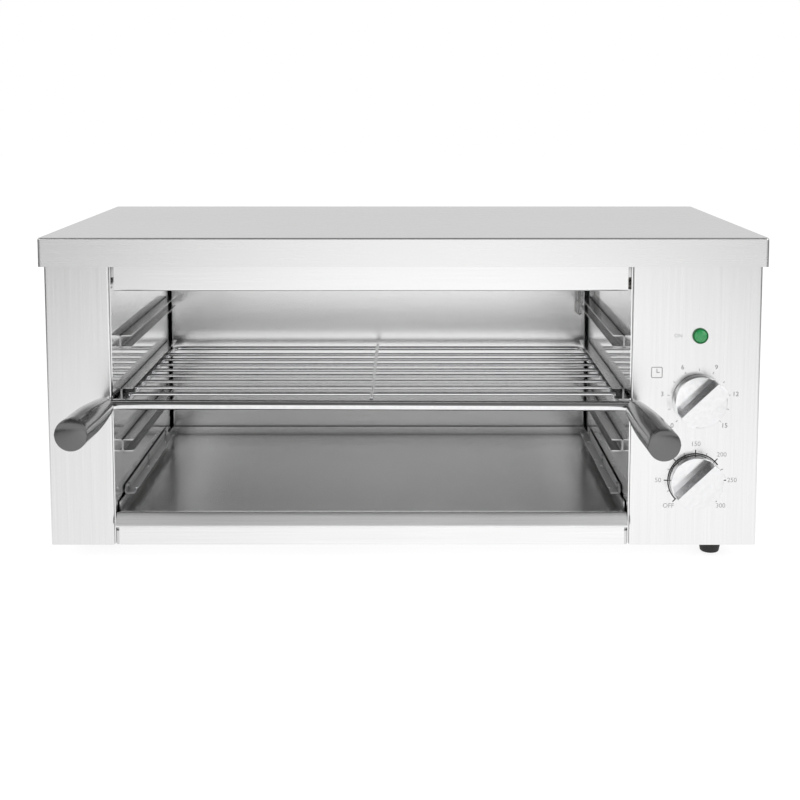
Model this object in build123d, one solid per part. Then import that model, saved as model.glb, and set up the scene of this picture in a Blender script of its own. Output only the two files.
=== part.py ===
"""Electric cheese melter (salamander grill): sheet-steel casing, heated cavity, rack, tray and controls.

Millimetres, +X to the user's right, +Y to the back, +Z up. The origin is on the table, at the centre
of the rectangle that the whole grill covers. Depths are measured back from the body's front plane.
"""

import os

from build123d import *

# Sheet metal
SHEET = 1.0
BEND = 0.6
OUTER_BEND = 1.3

# Whole grill: the lid is its widest part, the rack's grips reach furthest forward
LID_WIDTH = 610.0
LID_FRONT = -4.0
LID_BACK = 301.0
LID_TOP = 280.0
LID_LIP = 24.5
LID_CORNER = 2.6
GRIP_REACH = 126.0
GLAND_REACH = 312.0
FRONT = (GRIP_REACH - GLAND_REACH) / 2

# Body casing
BODY_HALF = 301.0
BODY_BOTTOM = 15.5
BODY_TOP = LID_TOP - SHEET
BODY_BACK = LID_BACK - SHEET
OPENING_LEFT = -245.5
OPENING_RIGHT = 191.3
RETURN_DEPTH = 15.0
LAP_GAP = 0.1
REAR_FLANGE = 16.0
FASCIA_LEFT = -242.8
FASCIA_RIGHT = 188.6
UPPER_FASCIA_BOTTOM = 234.5
UPPER_FASCIA_SETBACK = 1.0
LOWER_FASCIA_TOP = 32.0
LOWER_FASCIA_SETBACK = 0.5
BASE_FLANGE = 12.0
NOTCH_GAP = 0.2
FASCIA_RETURN = 19.0

# Heated cavity
WALL_FRONT = 0.6
WALL_TOP = 256.0
WALL_BACK = 285.0
BACK_WALL_DEPTH = 270.0
BACK_WALL_GAP = 1.5
BACK_WALL_RETURN = 9.0
CEILING_BOTTOM = 246.0
FLOOR_TOP = 40.2
FLOOR_SETBACK = 3.0
FLOOR_BACK_GAP = 2.0
FLOOR_SIDE_GAP = 0.3

# Runners: three channels on each side, and an angle rail just above the tray
CHANNEL_BOTTOMS = (180.3, 134.0, 88.2)
CHANNEL_HEIGHT = 10.6
CHANNEL_SHEET = 0.8
RUNNER_REACH = 9.5
RUNNER_FRONT = 33.0
RUNNER_BACK = 256.0
RAIL_BACK = 238.0
RAIL_BOTTOM = 50.3
RAIL_HEIGHT = 6.8
RAIL_SPACING = 1.0
RAIL_CORNER = 4.2
RIVET_DEPTHS = (46.0, 135.0, 224.0)
RIVET_RADIUS = 1.6
NOTCH_RADIUS = 2.4
RAIL_SLOT_DEPTHS = (114.0, 200.0)
RAIL_SLOT_INSET = 3.6
RAIL_SLOT_LENGTH = 7.0
RAIL_SLOT_WIDTH = 2.6
RIVET_HEIGHT = RAIL_BOTTOM + RAIL_HEIGHT / 2 + 0.4

# Wire rack
RACK_MIDDLE = (OPENING_LEFT + OPENING_RIGHT) / 2
BAR_RADIUS = 4.15
BAR_DEPTH = -5.0
BAR_HEIGHT = 139.0
BAR_BEND = 6.0
SIDE_ROD_RADIUS = 2.1
SIDE_ROD_SPAN = 419.7
SIDE_ROD_HEIGHT = 137.2
REAR_ROD_DEPTH = 249.0
REAR_ROD_BEND = 7.0
CROSS_WIRE_RADIUS = 1.6
CROSS_WIRE_HEIGHT = 140.1
CROSS_WIRE_COUNT = 8
CROSS_WIRE_FIRST = 29.8
CROSS_WIRE_PITCH = 24.5
CENTRE_WIRE_RADIUS = 1.5
CENTRE_WIRE_HEIGHT = 142.6
CENTRE_WIRE_HOOK = 4.0
CENTRE_WIRE_DROP = 14.0

# Grips: where each grip's axis ends, as X and Z, at the bar and at the tip
GRIPS = {
    "left": ((-249.5, BAR_HEIGHT), (-249.7, 144.2)),
    "right": ((193.0, BAR_HEIGHT - 1.5), (196.8, 136.2)),
}
GRIP_BACK = -16.0
GRIP_BACK_RADIUS = 7.4
GRIP_WAIST_RADIUS = 11.2
GRIP_WAIST_SHARE = 0.38
GRIP_TIP_RADIUS = 12.5
GRIP_RIM = 1.1
TANG_LENGTH = 78.0
TANG_CLEARANCE = 0.1

# Crumb tray
TRAY_SIDE_GAP = 0.9
TRAY_FLOOR = 41.5
TRAY_UPSTAND = 49.6
TRAY_BACK = 268.0
TRAY_LIP_TOP = 43.8
TRAY_LIP_DEPTH = -8.0
TRAY_LIP_BOTTOM = 33.1
TRAY_RAMP_DEPTH = 12.0
TRAY_RIM_DEPTH = 1.5
TRAY_RETURN_DEPTH = -3.0

# Heating elements
ELEMENT_RADIUS = 4.25
ELEMENT_HEIGHT = 231.5
ELEMENT_RUNS = {"front": (60.0, 104.0), "rear": (160.0, 204.0)}
ELEMENT_LEFT = -225.0
ELEMENT_RIGHT = 212.0
ELEMENT_BEND = 20.0
ELEMENT_SUPPORTS = {"left": -150.0, "right": 96.0}
ELEMENT_CLEARANCE = 0.3
SUPPORT_MARGIN = 12.0
SUPPORT_DROP = 2.0
TERMINAL_RADIUS = 1.5
TERMINAL_END = 228.0
INSULATOR_END = 219.0
FLANGE_RADIUS = 8.0
FLANGE_THICKNESS = 3.0

# Controls on the right-hand column
PANEL_HOLE = 5.0
SPINDLE_RADIUS = 3.0
SPINDLE_CLEARANCE = 0.06
SPINDLE_FLAT = 2.2
SPINDLE_OUT = 14.0
SPINDLE_IN = 12.0
CONTROLS = {
    "timer": {"x": 249.7, "z": 141.7, "size": (46.0, 44.0, 46.0), "turn": 44.0},
    "thermostat": {"x": 248.0, "z": 72.1, "size": (38.0, 30.0, 42.0), "turn": 44.0},
}
CONTROL_BODY_EDGE = 2.0
CONTROL_SCREW_PITCH = 28.0
CONTROL_SCREW_LENGTH = 7.0
KNOB_GAP = 1.2
KNOB_RADIUS = 22.2
SKIRT_HEIGHT = 8.5
SKIRT_EDGE = 1.0
KNOB_HEIGHT = 25.0
KNOB_BAR_WIDTH = 14.0
KNOB_BAR_INSET = 0.4
KNOB_BAR_EDGE = 0.8
KNOB_HOLLOW_RADIUS = 19.0
KNOB_HOLLOW_DEPTH = 4.5
KNOB_BOSS_RADIUS = 7.0
LAMP_X = 249.7
LAMP_Z = 196.6
LENS_RADIUS = 6.6
LENS_HEIGHT = 3.2
LAMP_BODY_RADIUS = 4.9
LAMP_BODY_LENGTH = 24.0
LAMP_CLIP_RADIUS = 6.9
LAMP_CLIP_THICKNESS = 2.5

# Thermostat's sensor: a hairpin of capillary tube at the cavity's rear right
CAPILLARY_RADIUS = 0.9
SENSOR_X = 182.5
SENSOR_HALF_WIDTH = 2.1
SENSOR_DEPTH = 262.0
SENSOR_BOTTOM = 171.0
CAPILLARY_TOP = 265.0
CAPILLARY_SIDE_X = 222.0
CAPILLARY_SIDE_Z = 150.0
CAPILLARY_FRONT = (90.0, 100.0)
CAPILLARY_TURN = 18.0
CAPILLARY_BENDS = [1.9, 1.9, 8, 10, 14, 14, 10]

# Feet, fasteners, gland and other fittings
FOOT_X = 268.6
FEET = {
    "front_left": (-FOOT_X, 57.0),
    "front_right": (FOOT_X, 30.0),
    "rear_left": (-FOOT_X, 268.0),
    "rear_right": (FOOT_X, 268.0),
}
FOOT_TOP_RADIUS = 10.5
FOOT_BOTTOM_RADIUS = 8.3
SCREW_RADIUS = 2.0
SCREW_HOLE_RADIUS = 2.2
SCREW_HEAD_RADIUS = 3.8
SCREW_HEAD_HEIGHT = 2.2
FOOT_SCREW_HEAD_Z = 3.4
FOOT_SCREW_TOP = 24.0
FOOT_WELL_RADIUS = 4.2
REAR_SCREW_LENGTH = 8.0
NUT_RADIUS = 4.0
NUT_HEIGHT = 3.2
LID_SCREW_XS = (-200.0, 0.0, 200.0)
LID_SCREW_Z = 266.0
REAR_SCREW_X = 293.0
REAR_SCREW_ZS = (40.0, 140.0, 235.0)
GLAND_X = 262.0
GLAND_Z = 46.0
GLAND_BORE = 4.2
GLAND_THREAD_RADIUS = 8.0
GLAND_DOME_RADIUS = 8.6
GLAND_HEX_RADIUS = 10.5
GLAND_INNER_END = 288.0
GLAND_HEX_LENGTH = 5.0
VENT_WIDTH = 4.0
VENT_HEIGHT = 34.0
VENT_PITCH = 11.0
SIDE_VENTS = 9
SIDE_VENT_FIRST = 150.0
SIDE_VENT_Z = 60.0
REAR_VENTS = 7
REAR_VENT_FIRST = 205.0
REAR_VENT_Z = 190.0
BLANKET_BOTTOM = 247.2
BLANKET_TOP = 262.0

# Supply terminal block, on the base plate
BLOCK_X = (238.0, 274.0)
BLOCK_DEPTH = (228.0, 246.0)
BLOCK_HEIGHT = 18.0
BLOCK_WAY_XS = (245.0, 256.0, 267.0)
BLOCK_WAY_HEIGHT = 8.0
BLOCK_WAY_RADIUS = 2.2
BLOCK_SCREW_RADIUS = 2.0
BLOCK_SCREW_DEPTH = 3.0


def at(x, depth, z):
    """A location in the grill, its depth measured back from the body's front plane."""
    return Pos(x, FRONT + depth, z)


def block(x, depth, z):
    """A rectangular solid that fills three (low, high) ranges."""
    centre = at(sum(x) / 2, sum(depth) / 2, sum(z) / 2)
    return centre * Box(x[1] - x[0], depth[1] - depth[0], z[1] - z[0])


def along_x(radius, x, depth, z):
    """A round bar that lies along X over the (low, high) range x."""
    return at(sum(x) / 2, depth, z) * Rot(0, 90, 0) * Cylinder(radius, x[1] - x[0])


def along_depth(radius, x, depth, z):
    """A round bar that lies along Y over the (low, high) range depth."""
    return at(x, sum(depth) / 2, z) * Rot(90, 0, 0) * Cylinder(radius, depth[1] - depth[0])


def hexagon_along_depth(radius, x, depth, z):
    """A hexagonal bar that lies along Y over the (low, high) range depth."""
    section = Plane(origin=(x, FRONT + depth[0], z), z_dir=(0, 1, 0)) * RegularPolygon(radius, 6)
    return extrude(section, amount=depth[1] - depth[0])


def tray_shell(x, depth, z, sheet=SHEET):
    """A folded box with no top, of the given outer ranges."""
    hollow_x = (x[0] + sheet, x[1] - sheet)
    hollow_depth = (depth[0] + sheet, depth[1] - sheet)
    hollow_z = (z[0] + sheet, z[1] + sheet)
    return block(x, depth, z) - block(hollow_x, hollow_depth, hollow_z)


def offset_run(points, thickness):
    """The run of points set off to its left by the thickness, with mitred corners."""
    places = [complex(*point) for point in points]
    steps = [(b - a) / abs(b - a) for a, b in zip(places, places[1:])]
    moved = []
    for index, place in enumerate(places):
        before = steps[max(index - 1, 0)]
        after = steps[min(index, len(steps) - 1)]
        middle = 1j * (before + after) / abs(before + after)
        reach = thickness / (middle * (1j * after).conjugate()).real
        moved.append(place + middle * reach)
    return [(place.real, place.imag) for place in moved]


def bend_radii(points, thickness, bend):
    """Radii at the inner points of a run and of its offset copy, so that the sheet keeps its thickness."""
    places = [complex(*point) for point in points]
    run, copy = [], []
    for before, here, after in zip(places, places[1:], places[2:]):
        turns_left = ((here - before).conjugate() * (after - here)).imag > 0
        copy_is_inside = turns_left == (thickness > 0)
        run.append(bend + abs(thickness) if copy_is_inside else bend)
        copy.append(bend if copy_is_inside else bend + abs(thickness))
    return run, copy


def sheet_section(points, thickness=SHEET, bend=BEND):
    """The section of a folded sheet, one of whose faces follows the run of points."""
    moved = offset_run(points, thickness)
    run_radii, copy_radii = bend_radii(points, thickness, bend)
    run = FilletPolyline(*points, radius=run_radii)
    copy = FilletPolyline(*moved, radius=copy_radii)
    ends = Line(points[0], moved[0]) + Line(points[-1], moved[-1])
    return make_face(run + copy + ends)


def fold_upright(points, z, thickness=SHEET, bend=BEND):
    """A sheet folded about upright lines, from its plan: points are (X, depth)."""
    section = Pos(0, FRONT, z[0]) * sheet_section(points, thickness, bend)
    return extrude(section, amount=z[1] - z[0])


def fold_across(points, x, thickness=SHEET, bend=BEND):
    """A sheet folded about lines along X, from its side view: points are (depth, Z)."""
    section = Plane.YZ.offset(x[0]) * Pos(FRONT, 0) * sheet_section(points, thickness, bend)
    return extrude(section, amount=x[1] - x[0])


def fold_lengthwise(points, depth, thickness=SHEET, bend=BEND):
    """A sheet folded about lines along Y, from its front view: points are (X, Z)."""
    section = Pos(0, FRONT + depth[0], 0) * (Plane.XZ * sheet_section(points, thickness, bend))
    return extrude(section, amount=depth[1] - depth[0], dir=(0, 1, 0))


def bent_rod(points, radius, bends):
    """A round rod along a run of (X, depth, Z) points, with one bend radius for each inner point."""
    places = [Vector(x, FRONT + depth, z) for x, depth, z in points]
    path = FilletPolyline(*places, radius=bends)
    start = Plane(origin=places[0], z_dir=places[1] - places[0])
    return sweep(start * Circle(radius), path=path)


# ---- casing -----------------------------------------------------------------------------------------


def top_cover():
    """The lid: a shallow pressed pan, upside down, with screw holes in its rear lip."""
    half = LID_WIDTH / 2
    outer = block((-half, half), (LID_FRONT, LID_BACK), (LID_TOP - LID_LIP, LID_TOP))
    outer = fillet(outer.edges().filter_by(Axis.Z), LID_CORNER)
    outer = fillet(outer.faces().sort_by(Axis.Z)[-1].edges(), LID_CORNER - SHEET)
    inner = block(
        (-half + SHEET, half - SHEET),
        (LID_FRONT + SHEET, LID_BACK - SHEET),
        (LID_TOP - LID_LIP - SHEET, BODY_TOP),
    )
    inner = fillet(inner.edges().filter_by(Axis.Z), LID_CORNER - SHEET)
    lid = outer - inner
    for x in LID_SCREW_XS:
        lid -= along_depth(SCREW_HOLE_RADIUS, x, (LID_BACK - 5, LID_BACK + 5), LID_SCREW_Z)
    return lid


def side_casing(side, opening):
    """One side wall with its front column and a short return behind the cavity's wall, one folded sheet."""
    wall = side * BODY_HALF
    fold = opening + side * (SHEET + LAP_GAP)
    back = BODY_BACK - SHEET
    plan = [
        (fold, RETURN_DEPTH),
        (fold, 0),
        (wall, 0),
        (wall, back),
        (wall - side * REAR_FLANGE, back),
    ]
    casing = fold_upright(plan, (BODY_BOTTOM, BODY_TOP), thickness=side * SHEET, bend=OUTER_BEND - SHEET / 2)
    for z in REAR_SCREW_ZS:
        casing -= along_depth(SCREW_HOLE_RADIUS, side * REAR_SCREW_X, (back - 5, back + 5), z)
    return casing


def control_casing():
    """The right-hand casing: the side casing with the control holes and the side vents."""
    casing = side_casing(1, OPENING_RIGHT)
    for control in CONTROLS.values():
        casing -= along_depth(PANEL_HOLE, control["x"], (-5, 5), control["z"])
        for screw_x in control_screw_xs(control):
            casing -= along_depth(SCREW_HOLE_RADIUS, screw_x, (-5, 5), control["z"])
    casing -= along_depth(LAMP_BODY_RADIUS + 0.1, LAMP_X, (-5, 5), LAMP_Z)
    for index in range(SIDE_VENTS):
        depth = SIDE_VENT_FIRST + index * VENT_PITCH
        casing -= block(
            (BODY_HALF - 5, BODY_HALF + 5),
            (depth, depth + VENT_WIDTH),
            (SIDE_VENT_Z, SIDE_VENT_Z + VENT_HEIGHT),
        )
    return casing


def rear_panel():
    """The flat back, with the gland's hole, screw holes and a row of vents."""
    sheet = (BODY_BACK - SHEET, BODY_BACK)
    cut = (BODY_BACK - 5, BODY_BACK + 5)
    panel = block((-BODY_HALF, BODY_HALF), sheet, (BODY_BOTTOM, BODY_TOP))
    panel -= along_depth(GLAND_THREAD_RADIUS + 0.1, GLAND_X, cut, GLAND_Z)
    for x, z in rear_screw_places():
        panel -= along_depth(SCREW_HOLE_RADIUS, x, cut, z)
    for index in range(REAR_VENTS):
        x = REAR_VENT_FIRST + index * VENT_PITCH
        panel -= block((x, x + VENT_WIDTH), cut, (REAR_VENT_Z, REAR_VENT_Z + VENT_HEIGHT))
    return panel


def base_plate():
    """The bottom pan, flanged up all round, with the feet's screw holes.

    Notches at its front let the casings' returns and the cavity's side walls through.
    """
    pan = tray_shell(
        (-BODY_HALF + SHEET, BODY_HALF - SHEET),
        (LOWER_FASCIA_SETBACK + SHEET, BODY_BACK - 2 * SHEET),
        (BODY_BOTTOM, BODY_BOTTOM + BASE_FLANGE),
    )
    corners = pan.edges().filter_by(Axis.Z).sort_by(lambda edge: -abs(edge.center().X))[:4]
    pan = fillet(corners, OUTER_BEND)
    for side, opening in ((-1, OPENING_LEFT), (1, OPENING_RIGHT)):
        notch = sorted((opening - side * NOTCH_GAP, opening + side * (2 * SHEET + LAP_GAP + NOTCH_GAP)))
        pan -= block(notch, (0, RETURN_DEPTH + NOTCH_GAP), (BODY_BOTTOM - 1, BODY_BOTTOM + BASE_FLANGE + 1))
    for x, depth in FEET.values():
        pan -= at(x, depth, BODY_BOTTOM) * Cylinder(SCREW_HOLE_RADIUS, 10)
    return pan


def upper_front_fascia():
    """The strip between the columns above the opening, with a return below it."""
    front = UPPER_FASCIA_SETBACK
    return_end = front + FASCIA_RETURN
    side_view = [(return_end, UPPER_FASCIA_BOTTOM), (front, UPPER_FASCIA_BOTTOM), (front, BODY_TOP)]
    return fold_across(side_view, (FASCIA_LEFT, FASCIA_RIGHT), thickness=-SHEET)


def lower_front_fascia():
    """The strip between the columns below the tray."""
    sheet = (LOWER_FASCIA_SETBACK, LOWER_FASCIA_SETBACK + SHEET)
    return block((FASCIA_LEFT, FASCIA_RIGHT), sheet, (BODY_BOTTOM, LOWER_FASCIA_TOP))


# ---- cavity -----------------------------------------------------------------------------------------


def cavity_side_wall(side, opening):
    """One polished cavity wall, which covers the casing's return and ends just behind its front."""
    sheet = sorted((opening, opening + side * SHEET))
    return block(sheet, (WALL_FRONT, WALL_BACK), (BODY_BOTTOM + SHEET, WALL_TOP))


def cavity_right_wall():
    """The right-hand cavity wall, with clearance holes for the elements' ends."""
    wall = cavity_side_wall(1, OPENING_RIGHT)
    for depth in element_run_depths():
        hole = (OPENING_RIGHT - 5, OPENING_RIGHT + 5)
        wall -= along_x(ELEMENT_RADIUS + ELEMENT_CLEARANCE, hole, depth, ELEMENT_HEIGHT)
    return wall


def cavity_back_wall():
    """The cavity's back, folded back at its two edges, with a dark gap to each side wall."""
    left = OPENING_LEFT + BACK_WALL_GAP
    right = OPENING_RIGHT - BACK_WALL_GAP
    back = BACK_WALL_DEPTH
    return_end = back + BACK_WALL_RETURN
    plan = [(left, return_end), (left, back), (right, back), (right, return_end)]
    return fold_upright(plan, (BODY_BOTTOM + SHEET, WALL_TOP))


def cavity_ceiling():
    """The reflector above the elements, flanged up all round, with a slot for the sensor."""
    pan = tray_shell(
        (OPENING_LEFT + LAP_GAP, OPENING_RIGHT - LAP_GAP),
        (UPPER_FASCIA_SETBACK + SHEET, BACK_WALL_DEPTH),
        (CEILING_BOTTOM, WALL_TOP),
    )
    cut = (CEILING_BOTTOM - SHEET, CEILING_BOTTOM + 2 * SHEET)
    slot = block((SENSOR_X - 5, SENSOR_X + 5), (SENSOR_DEPTH - 3, SENSOR_DEPTH + 3), cut)
    return pan - slot


def cavity_floor():
    """The plate that the tray slides over, standing on two flanges on the base."""
    foot = BODY_BOTTOM + SHEET
    front, back = FLOOR_SETBACK, BACK_WALL_DEPTH - FLOOR_BACK_GAP
    side_view = [(front, foot), (front, FLOOR_TOP), (back, FLOOR_TOP), (back, foot)]
    width = (OPENING_LEFT + FLOOR_SIDE_GAP, OPENING_RIGHT - FLOOR_SIDE_GAP)
    return fold_across(side_view, width, thickness=-SHEET)


def channel_runner(side, wall, bottom):
    """A channel that the rack's side rod slides in, its open side towards the cavity."""
    face = wall
    tip = wall - side * RUNNER_REACH
    top = bottom + CHANNEL_HEIGHT
    front_view = [(tip, top), (face, top), (face, bottom), (tip, bottom)]
    return fold_lengthwise(front_view, (RUNNER_FRONT, RUNNER_BACK), thickness=-side * CHANNEL_SHEET, bend=0.5)


def tray_rail(side, wall):
    """The lowest rail: an angle stood off the wall on rivets, with a notch at each rivet."""
    face = wall - side * RAIL_SPACING
    tip = wall - side * RUNNER_REACH
    top = RAIL_BOTTOM + RAIL_HEIGHT
    front_view = [(face, top), (face, RAIL_BOTTOM), (tip, RAIL_BOTTOM)]
    rail = fold_lengthwise(front_view, (RUNNER_FRONT, RAIL_BACK), thickness=-side * CHANNEL_SHEET, bend=0.5)
    web = (face - side * 5, face + side * 5)
    for depth in RIVET_DEPTHS:
        rail -= along_x(RIVET_RADIUS, sorted(web), depth, RIVET_HEIGHT)
        rail -= at(tip, depth, RAIL_BOTTOM) * Cylinder(NOTCH_RADIUS, 5)
    for depth in RAIL_SLOT_DEPTHS:
        slot = extrude(SlotOverall(RAIL_SLOT_LENGTH, RAIL_SLOT_WIDTH, rotation=90), 3, both=True)
        rail -= at(tip + side * RAIL_SLOT_INSET, depth, RAIL_BOTTOM) * slot
    corner = at(face, RUNNER_FRONT, top) * Rot(45, 0, 0) * Box(5, RAIL_CORNER, RAIL_CORNER)
    return rail - corner


def tray_rail_rivets():
    """The rivets that hold the two angle rails to the cavity walls, each with its head and spacer."""
    rivets = []
    for side, wall in ((-1, OPENING_LEFT), (1, OPENING_RIGHT)):
        web = wall - side * (RAIL_SPACING + CHANNEL_SHEET)
        for depth in RIVET_DEPTHS:
            shank = along_x(RIVET_RADIUS, sorted((wall, web)), depth, RIVET_HEIGHT)
            head = along_x(RIVET_RADIUS + 1, sorted((web, web - side)), depth, RIVET_HEIGHT)
            rivets.append(shank + head)
    return Compound(children=[rivet.solid() for rivet in rivets])


# ---- heating ----------------------------------------------------------------------------------------


def element_run_depths():
    """The depth of each straight run of the two elements."""
    return [depth for runs in ELEMENT_RUNS.values() for depth in runs]


def heating_element(runs):
    """A sheathed hairpin element, its two ends through the right-hand wall."""
    near, far = runs
    points = [
        (ELEMENT_RIGHT, near, ELEMENT_HEIGHT),
        (ELEMENT_LEFT, near, ELEMENT_HEIGHT),
        (ELEMENT_LEFT, far, ELEMENT_HEIGHT),
        (ELEMENT_RIGHT, far, ELEMENT_HEIGHT),
    ]
    return bent_rod(points, ELEMENT_RADIUS, [ELEMENT_BEND, ELEMENT_BEND])


def element_support(x):
    """A strap hung from the ceiling, with a hole for each run of the elements."""
    depths = element_run_depths()
    span = (depths[0] - SUPPORT_MARGIN, depths[-1] + SUPPORT_MARGIN)
    strap = block((x, x + SHEET), span, (ELEMENT_HEIGHT - ELEMENT_RADIUS - SUPPORT_DROP, CEILING_BOTTOM))
    strap += block((x + SHEET, x + SUPPORT_MARGIN), span, (CEILING_BOTTOM - SHEET, CEILING_BOTTOM))
    for depth in depths:
        strap -= along_x(ELEMENT_RADIUS + LAP_GAP, (x - 5, x + 5), depth, ELEMENT_HEIGHT)
    return strap


def per_element_end(make):
    """One solid for each of the four element ends, grouped."""
    return Compound(children=[make(depth).solid() for depth in element_run_depths()])


def element_flanges():
    """Rings that fix the element ends to the outside of the cavity wall."""
    outside = OPENING_RIGHT + SHEET

    def ring(depth):
        span = (outside, outside + FLANGE_THICKNESS)
        disc = along_x(FLANGE_RADIUS, span, depth, ELEMENT_HEIGHT)
        return disc - along_x(ELEMENT_RADIUS, (span[0] - 1, span[1] + 1), depth, ELEMENT_HEIGHT)

    return per_element_end(ring)


def element_insulators():
    """Ceramic collars at the element ends."""

    def collar(depth):
        span = (ELEMENT_RIGHT, INSULATOR_END)
        outer = along_x(ELEMENT_RADIUS, span, depth, ELEMENT_HEIGHT)
        return outer - along_x(TERMINAL_RADIUS, (span[0] - 1, span[1] + 1), depth, ELEMENT_HEIGHT)

    return per_element_end(collar)


def element_terminals():
    """Terminal pins through the ceramic collars."""

    def pin(depth):
        return along_x(TERMINAL_RADIUS, (ELEMENT_RIGHT, TERMINAL_END), depth, ELEMENT_HEIGHT)

    return per_element_end(pin)


def insulation_blanket():
    """The mineral blanket between the ceiling reflector and the lid."""
    return block((OPENING_LEFT + 6, SENSOR_X - 14), (8, SENSOR_DEPTH - 8), (BLANKET_BOTTOM, BLANKET_TOP))


# ---- controls ---------------------------------------------------------------------------------------


def control_screw_xs(control):
    """Where a control's two fixing screws are, left and right of its spindle."""
    return (control["x"] - CONTROL_SCREW_PITCH / 2, control["x"] + CONTROL_SCREW_PITCH / 2)


def control_body(control):
    """The switch body behind the panel, bored for its spindle and for its two fixing screws."""
    width, length, height = control["size"]
    x, z = control["x"], control["z"]
    body = block((x - width / 2, x + width / 2), (SHEET, SHEET + length), (z - height / 2, z + height / 2))
    body = fillet(body.edges().filter_by(Axis.Y), CONTROL_BODY_EDGE)
    body -= along_depth(SPINDLE_RADIUS + SPINDLE_CLEARANCE, x, (0, SPINDLE_IN + 2), z)
    for screw_x in control_screw_xs(control):
        body -= along_depth(SCREW_RADIUS, screw_x, (0, CONTROL_SCREW_LENGTH + 1), z)
    return body


def control_spindle(control):
    """A control's steel spindle, with a flat on the length that carries the knob."""
    x, z = control["x"], control["z"]
    spindle = along_depth(SPINDLE_RADIUS, x, (-SPINDLE_OUT, SPINDLE_IN), z)
    flat = at(x, -SPINDLE_OUT / 2 - KNOB_GAP, z) * Rot(0, -control["turn"], 0)
    return spindle - flat * Pos(0, 0, SPINDLE_FLAT + 2) * Box(8, SPINDLE_OUT, 4)


def knob(control):
    """A turned skirt with a straight grip bar across it, hollow behind, bored for the spindle."""
    skirt = extrude(Circle(KNOB_RADIUS), SKIRT_HEIGHT)
    skirt = fillet(skirt.edges().sort_by(Axis.Z)[-1], SKIRT_EDGE)
    bar_plan = Rectangle(2 * KNOB_RADIUS, KNOB_BAR_WIDTH) & Circle(KNOB_RADIUS - KNOB_BAR_INSET)
    bar = extrude(bar_plan, KNOB_HEIGHT)
    bar = fillet(bar.faces().sort_by(Axis.Z)[-1].edges(), KNOB_BAR_EDGE)
    hollow = extrude(Circle(KNOB_HOLLOW_RADIUS) - Circle(KNOB_BOSS_RADIUS), KNOB_HOLLOW_DEPTH)
    bore = extrude(Circle(SPINDLE_RADIUS), SPINDLE_OUT - KNOB_GAP)
    flat = Pos(0, SPINDLE_FLAT + 2, SPINDLE_OUT / 2) * Box(8, 4, SPINDLE_OUT)
    shape = skirt + bar - hollow - (bore - flat)
    outward = Plane(origin=(control["x"], FRONT - KNOB_GAP, control["z"]), x_dir=(1, 0, 0), z_dir=(0, -1, 0))
    return outward * Rot(0, 0, control["turn"]) * shape


def control_screws():
    """The screws that hold the two controls to the panel, hidden behind the knobs."""
    screws = []
    for control in CONTROLS.values():
        for x in control_screw_xs(control):
            shank = along_depth(SCREW_RADIUS, x, (0, CONTROL_SCREW_LENGTH), control["z"])
            head = along_depth(SCREW_HEAD_RADIUS, x, (-SCREW_HEAD_HEIGHT, 0), control["z"])
            screws.append((shank + head).solid())
    return Compound(children=screws)


def pilot_lamp_lens():
    """The lamp's domed lens, standing on the panel."""
    lens = extrude(Circle(LENS_RADIUS), LENS_HEIGHT)
    lens = fillet(lens.edges().sort_by(Axis.Z)[-1], LENS_HEIGHT * 0.7)
    return Plane(origin=(LAMP_X, FRONT, LAMP_Z), x_dir=(1, 0, 0), z_dir=(0, -1, 0)) * lens


def pilot_lamp_body():
    """The lamp's body through the panel, with a clip ring behind it."""
    body = along_depth(LAMP_BODY_RADIUS, LAMP_X, (0, LAMP_BODY_LENGTH), LAMP_Z)
    return body + along_depth(LAMP_CLIP_RADIUS, LAMP_X, (SHEET, SHEET + LAMP_CLIP_THICKNESS), LAMP_Z)


def thermostat_sensor():
    """The sensing hairpin in the cavity and its capillary tube, over the ceiling to the thermostat."""
    thermostat = CONTROLS["thermostat"]
    left, right = SENSOR_X - SENSOR_HALF_WIDTH, SENSOR_X + SENSOR_HALF_WIDTH
    behind = SHEET + thermostat["size"][1]
    front_depth, front_z = CAPILLARY_FRONT
    points = [
        (right, SENSOR_DEPTH, CEILING_BOTTOM - 2),
        (right, SENSOR_DEPTH, SENSOR_BOTTOM),
        (left, SENSOR_DEPTH, SENSOR_BOTTOM),
        (left, SENSOR_DEPTH, CAPILLARY_TOP),
        (CAPILLARY_SIDE_X, SENSOR_DEPTH - 10, CAPILLARY_TOP),
        (CAPILLARY_SIDE_X, SENSOR_DEPTH - 20, CAPILLARY_SIDE_Z),
        (CAPILLARY_SIDE_X, front_depth, front_z),
        (thermostat["x"], behind + 2 * CAPILLARY_TURN, thermostat["z"]),
        (thermostat["x"], behind, thermostat["z"]),
    ]
    return bent_rod(points, CAPILLARY_RADIUS, CAPILLARY_BENDS)


# ---- rack and tray ----------------------------------------------------------------------------------


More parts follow.
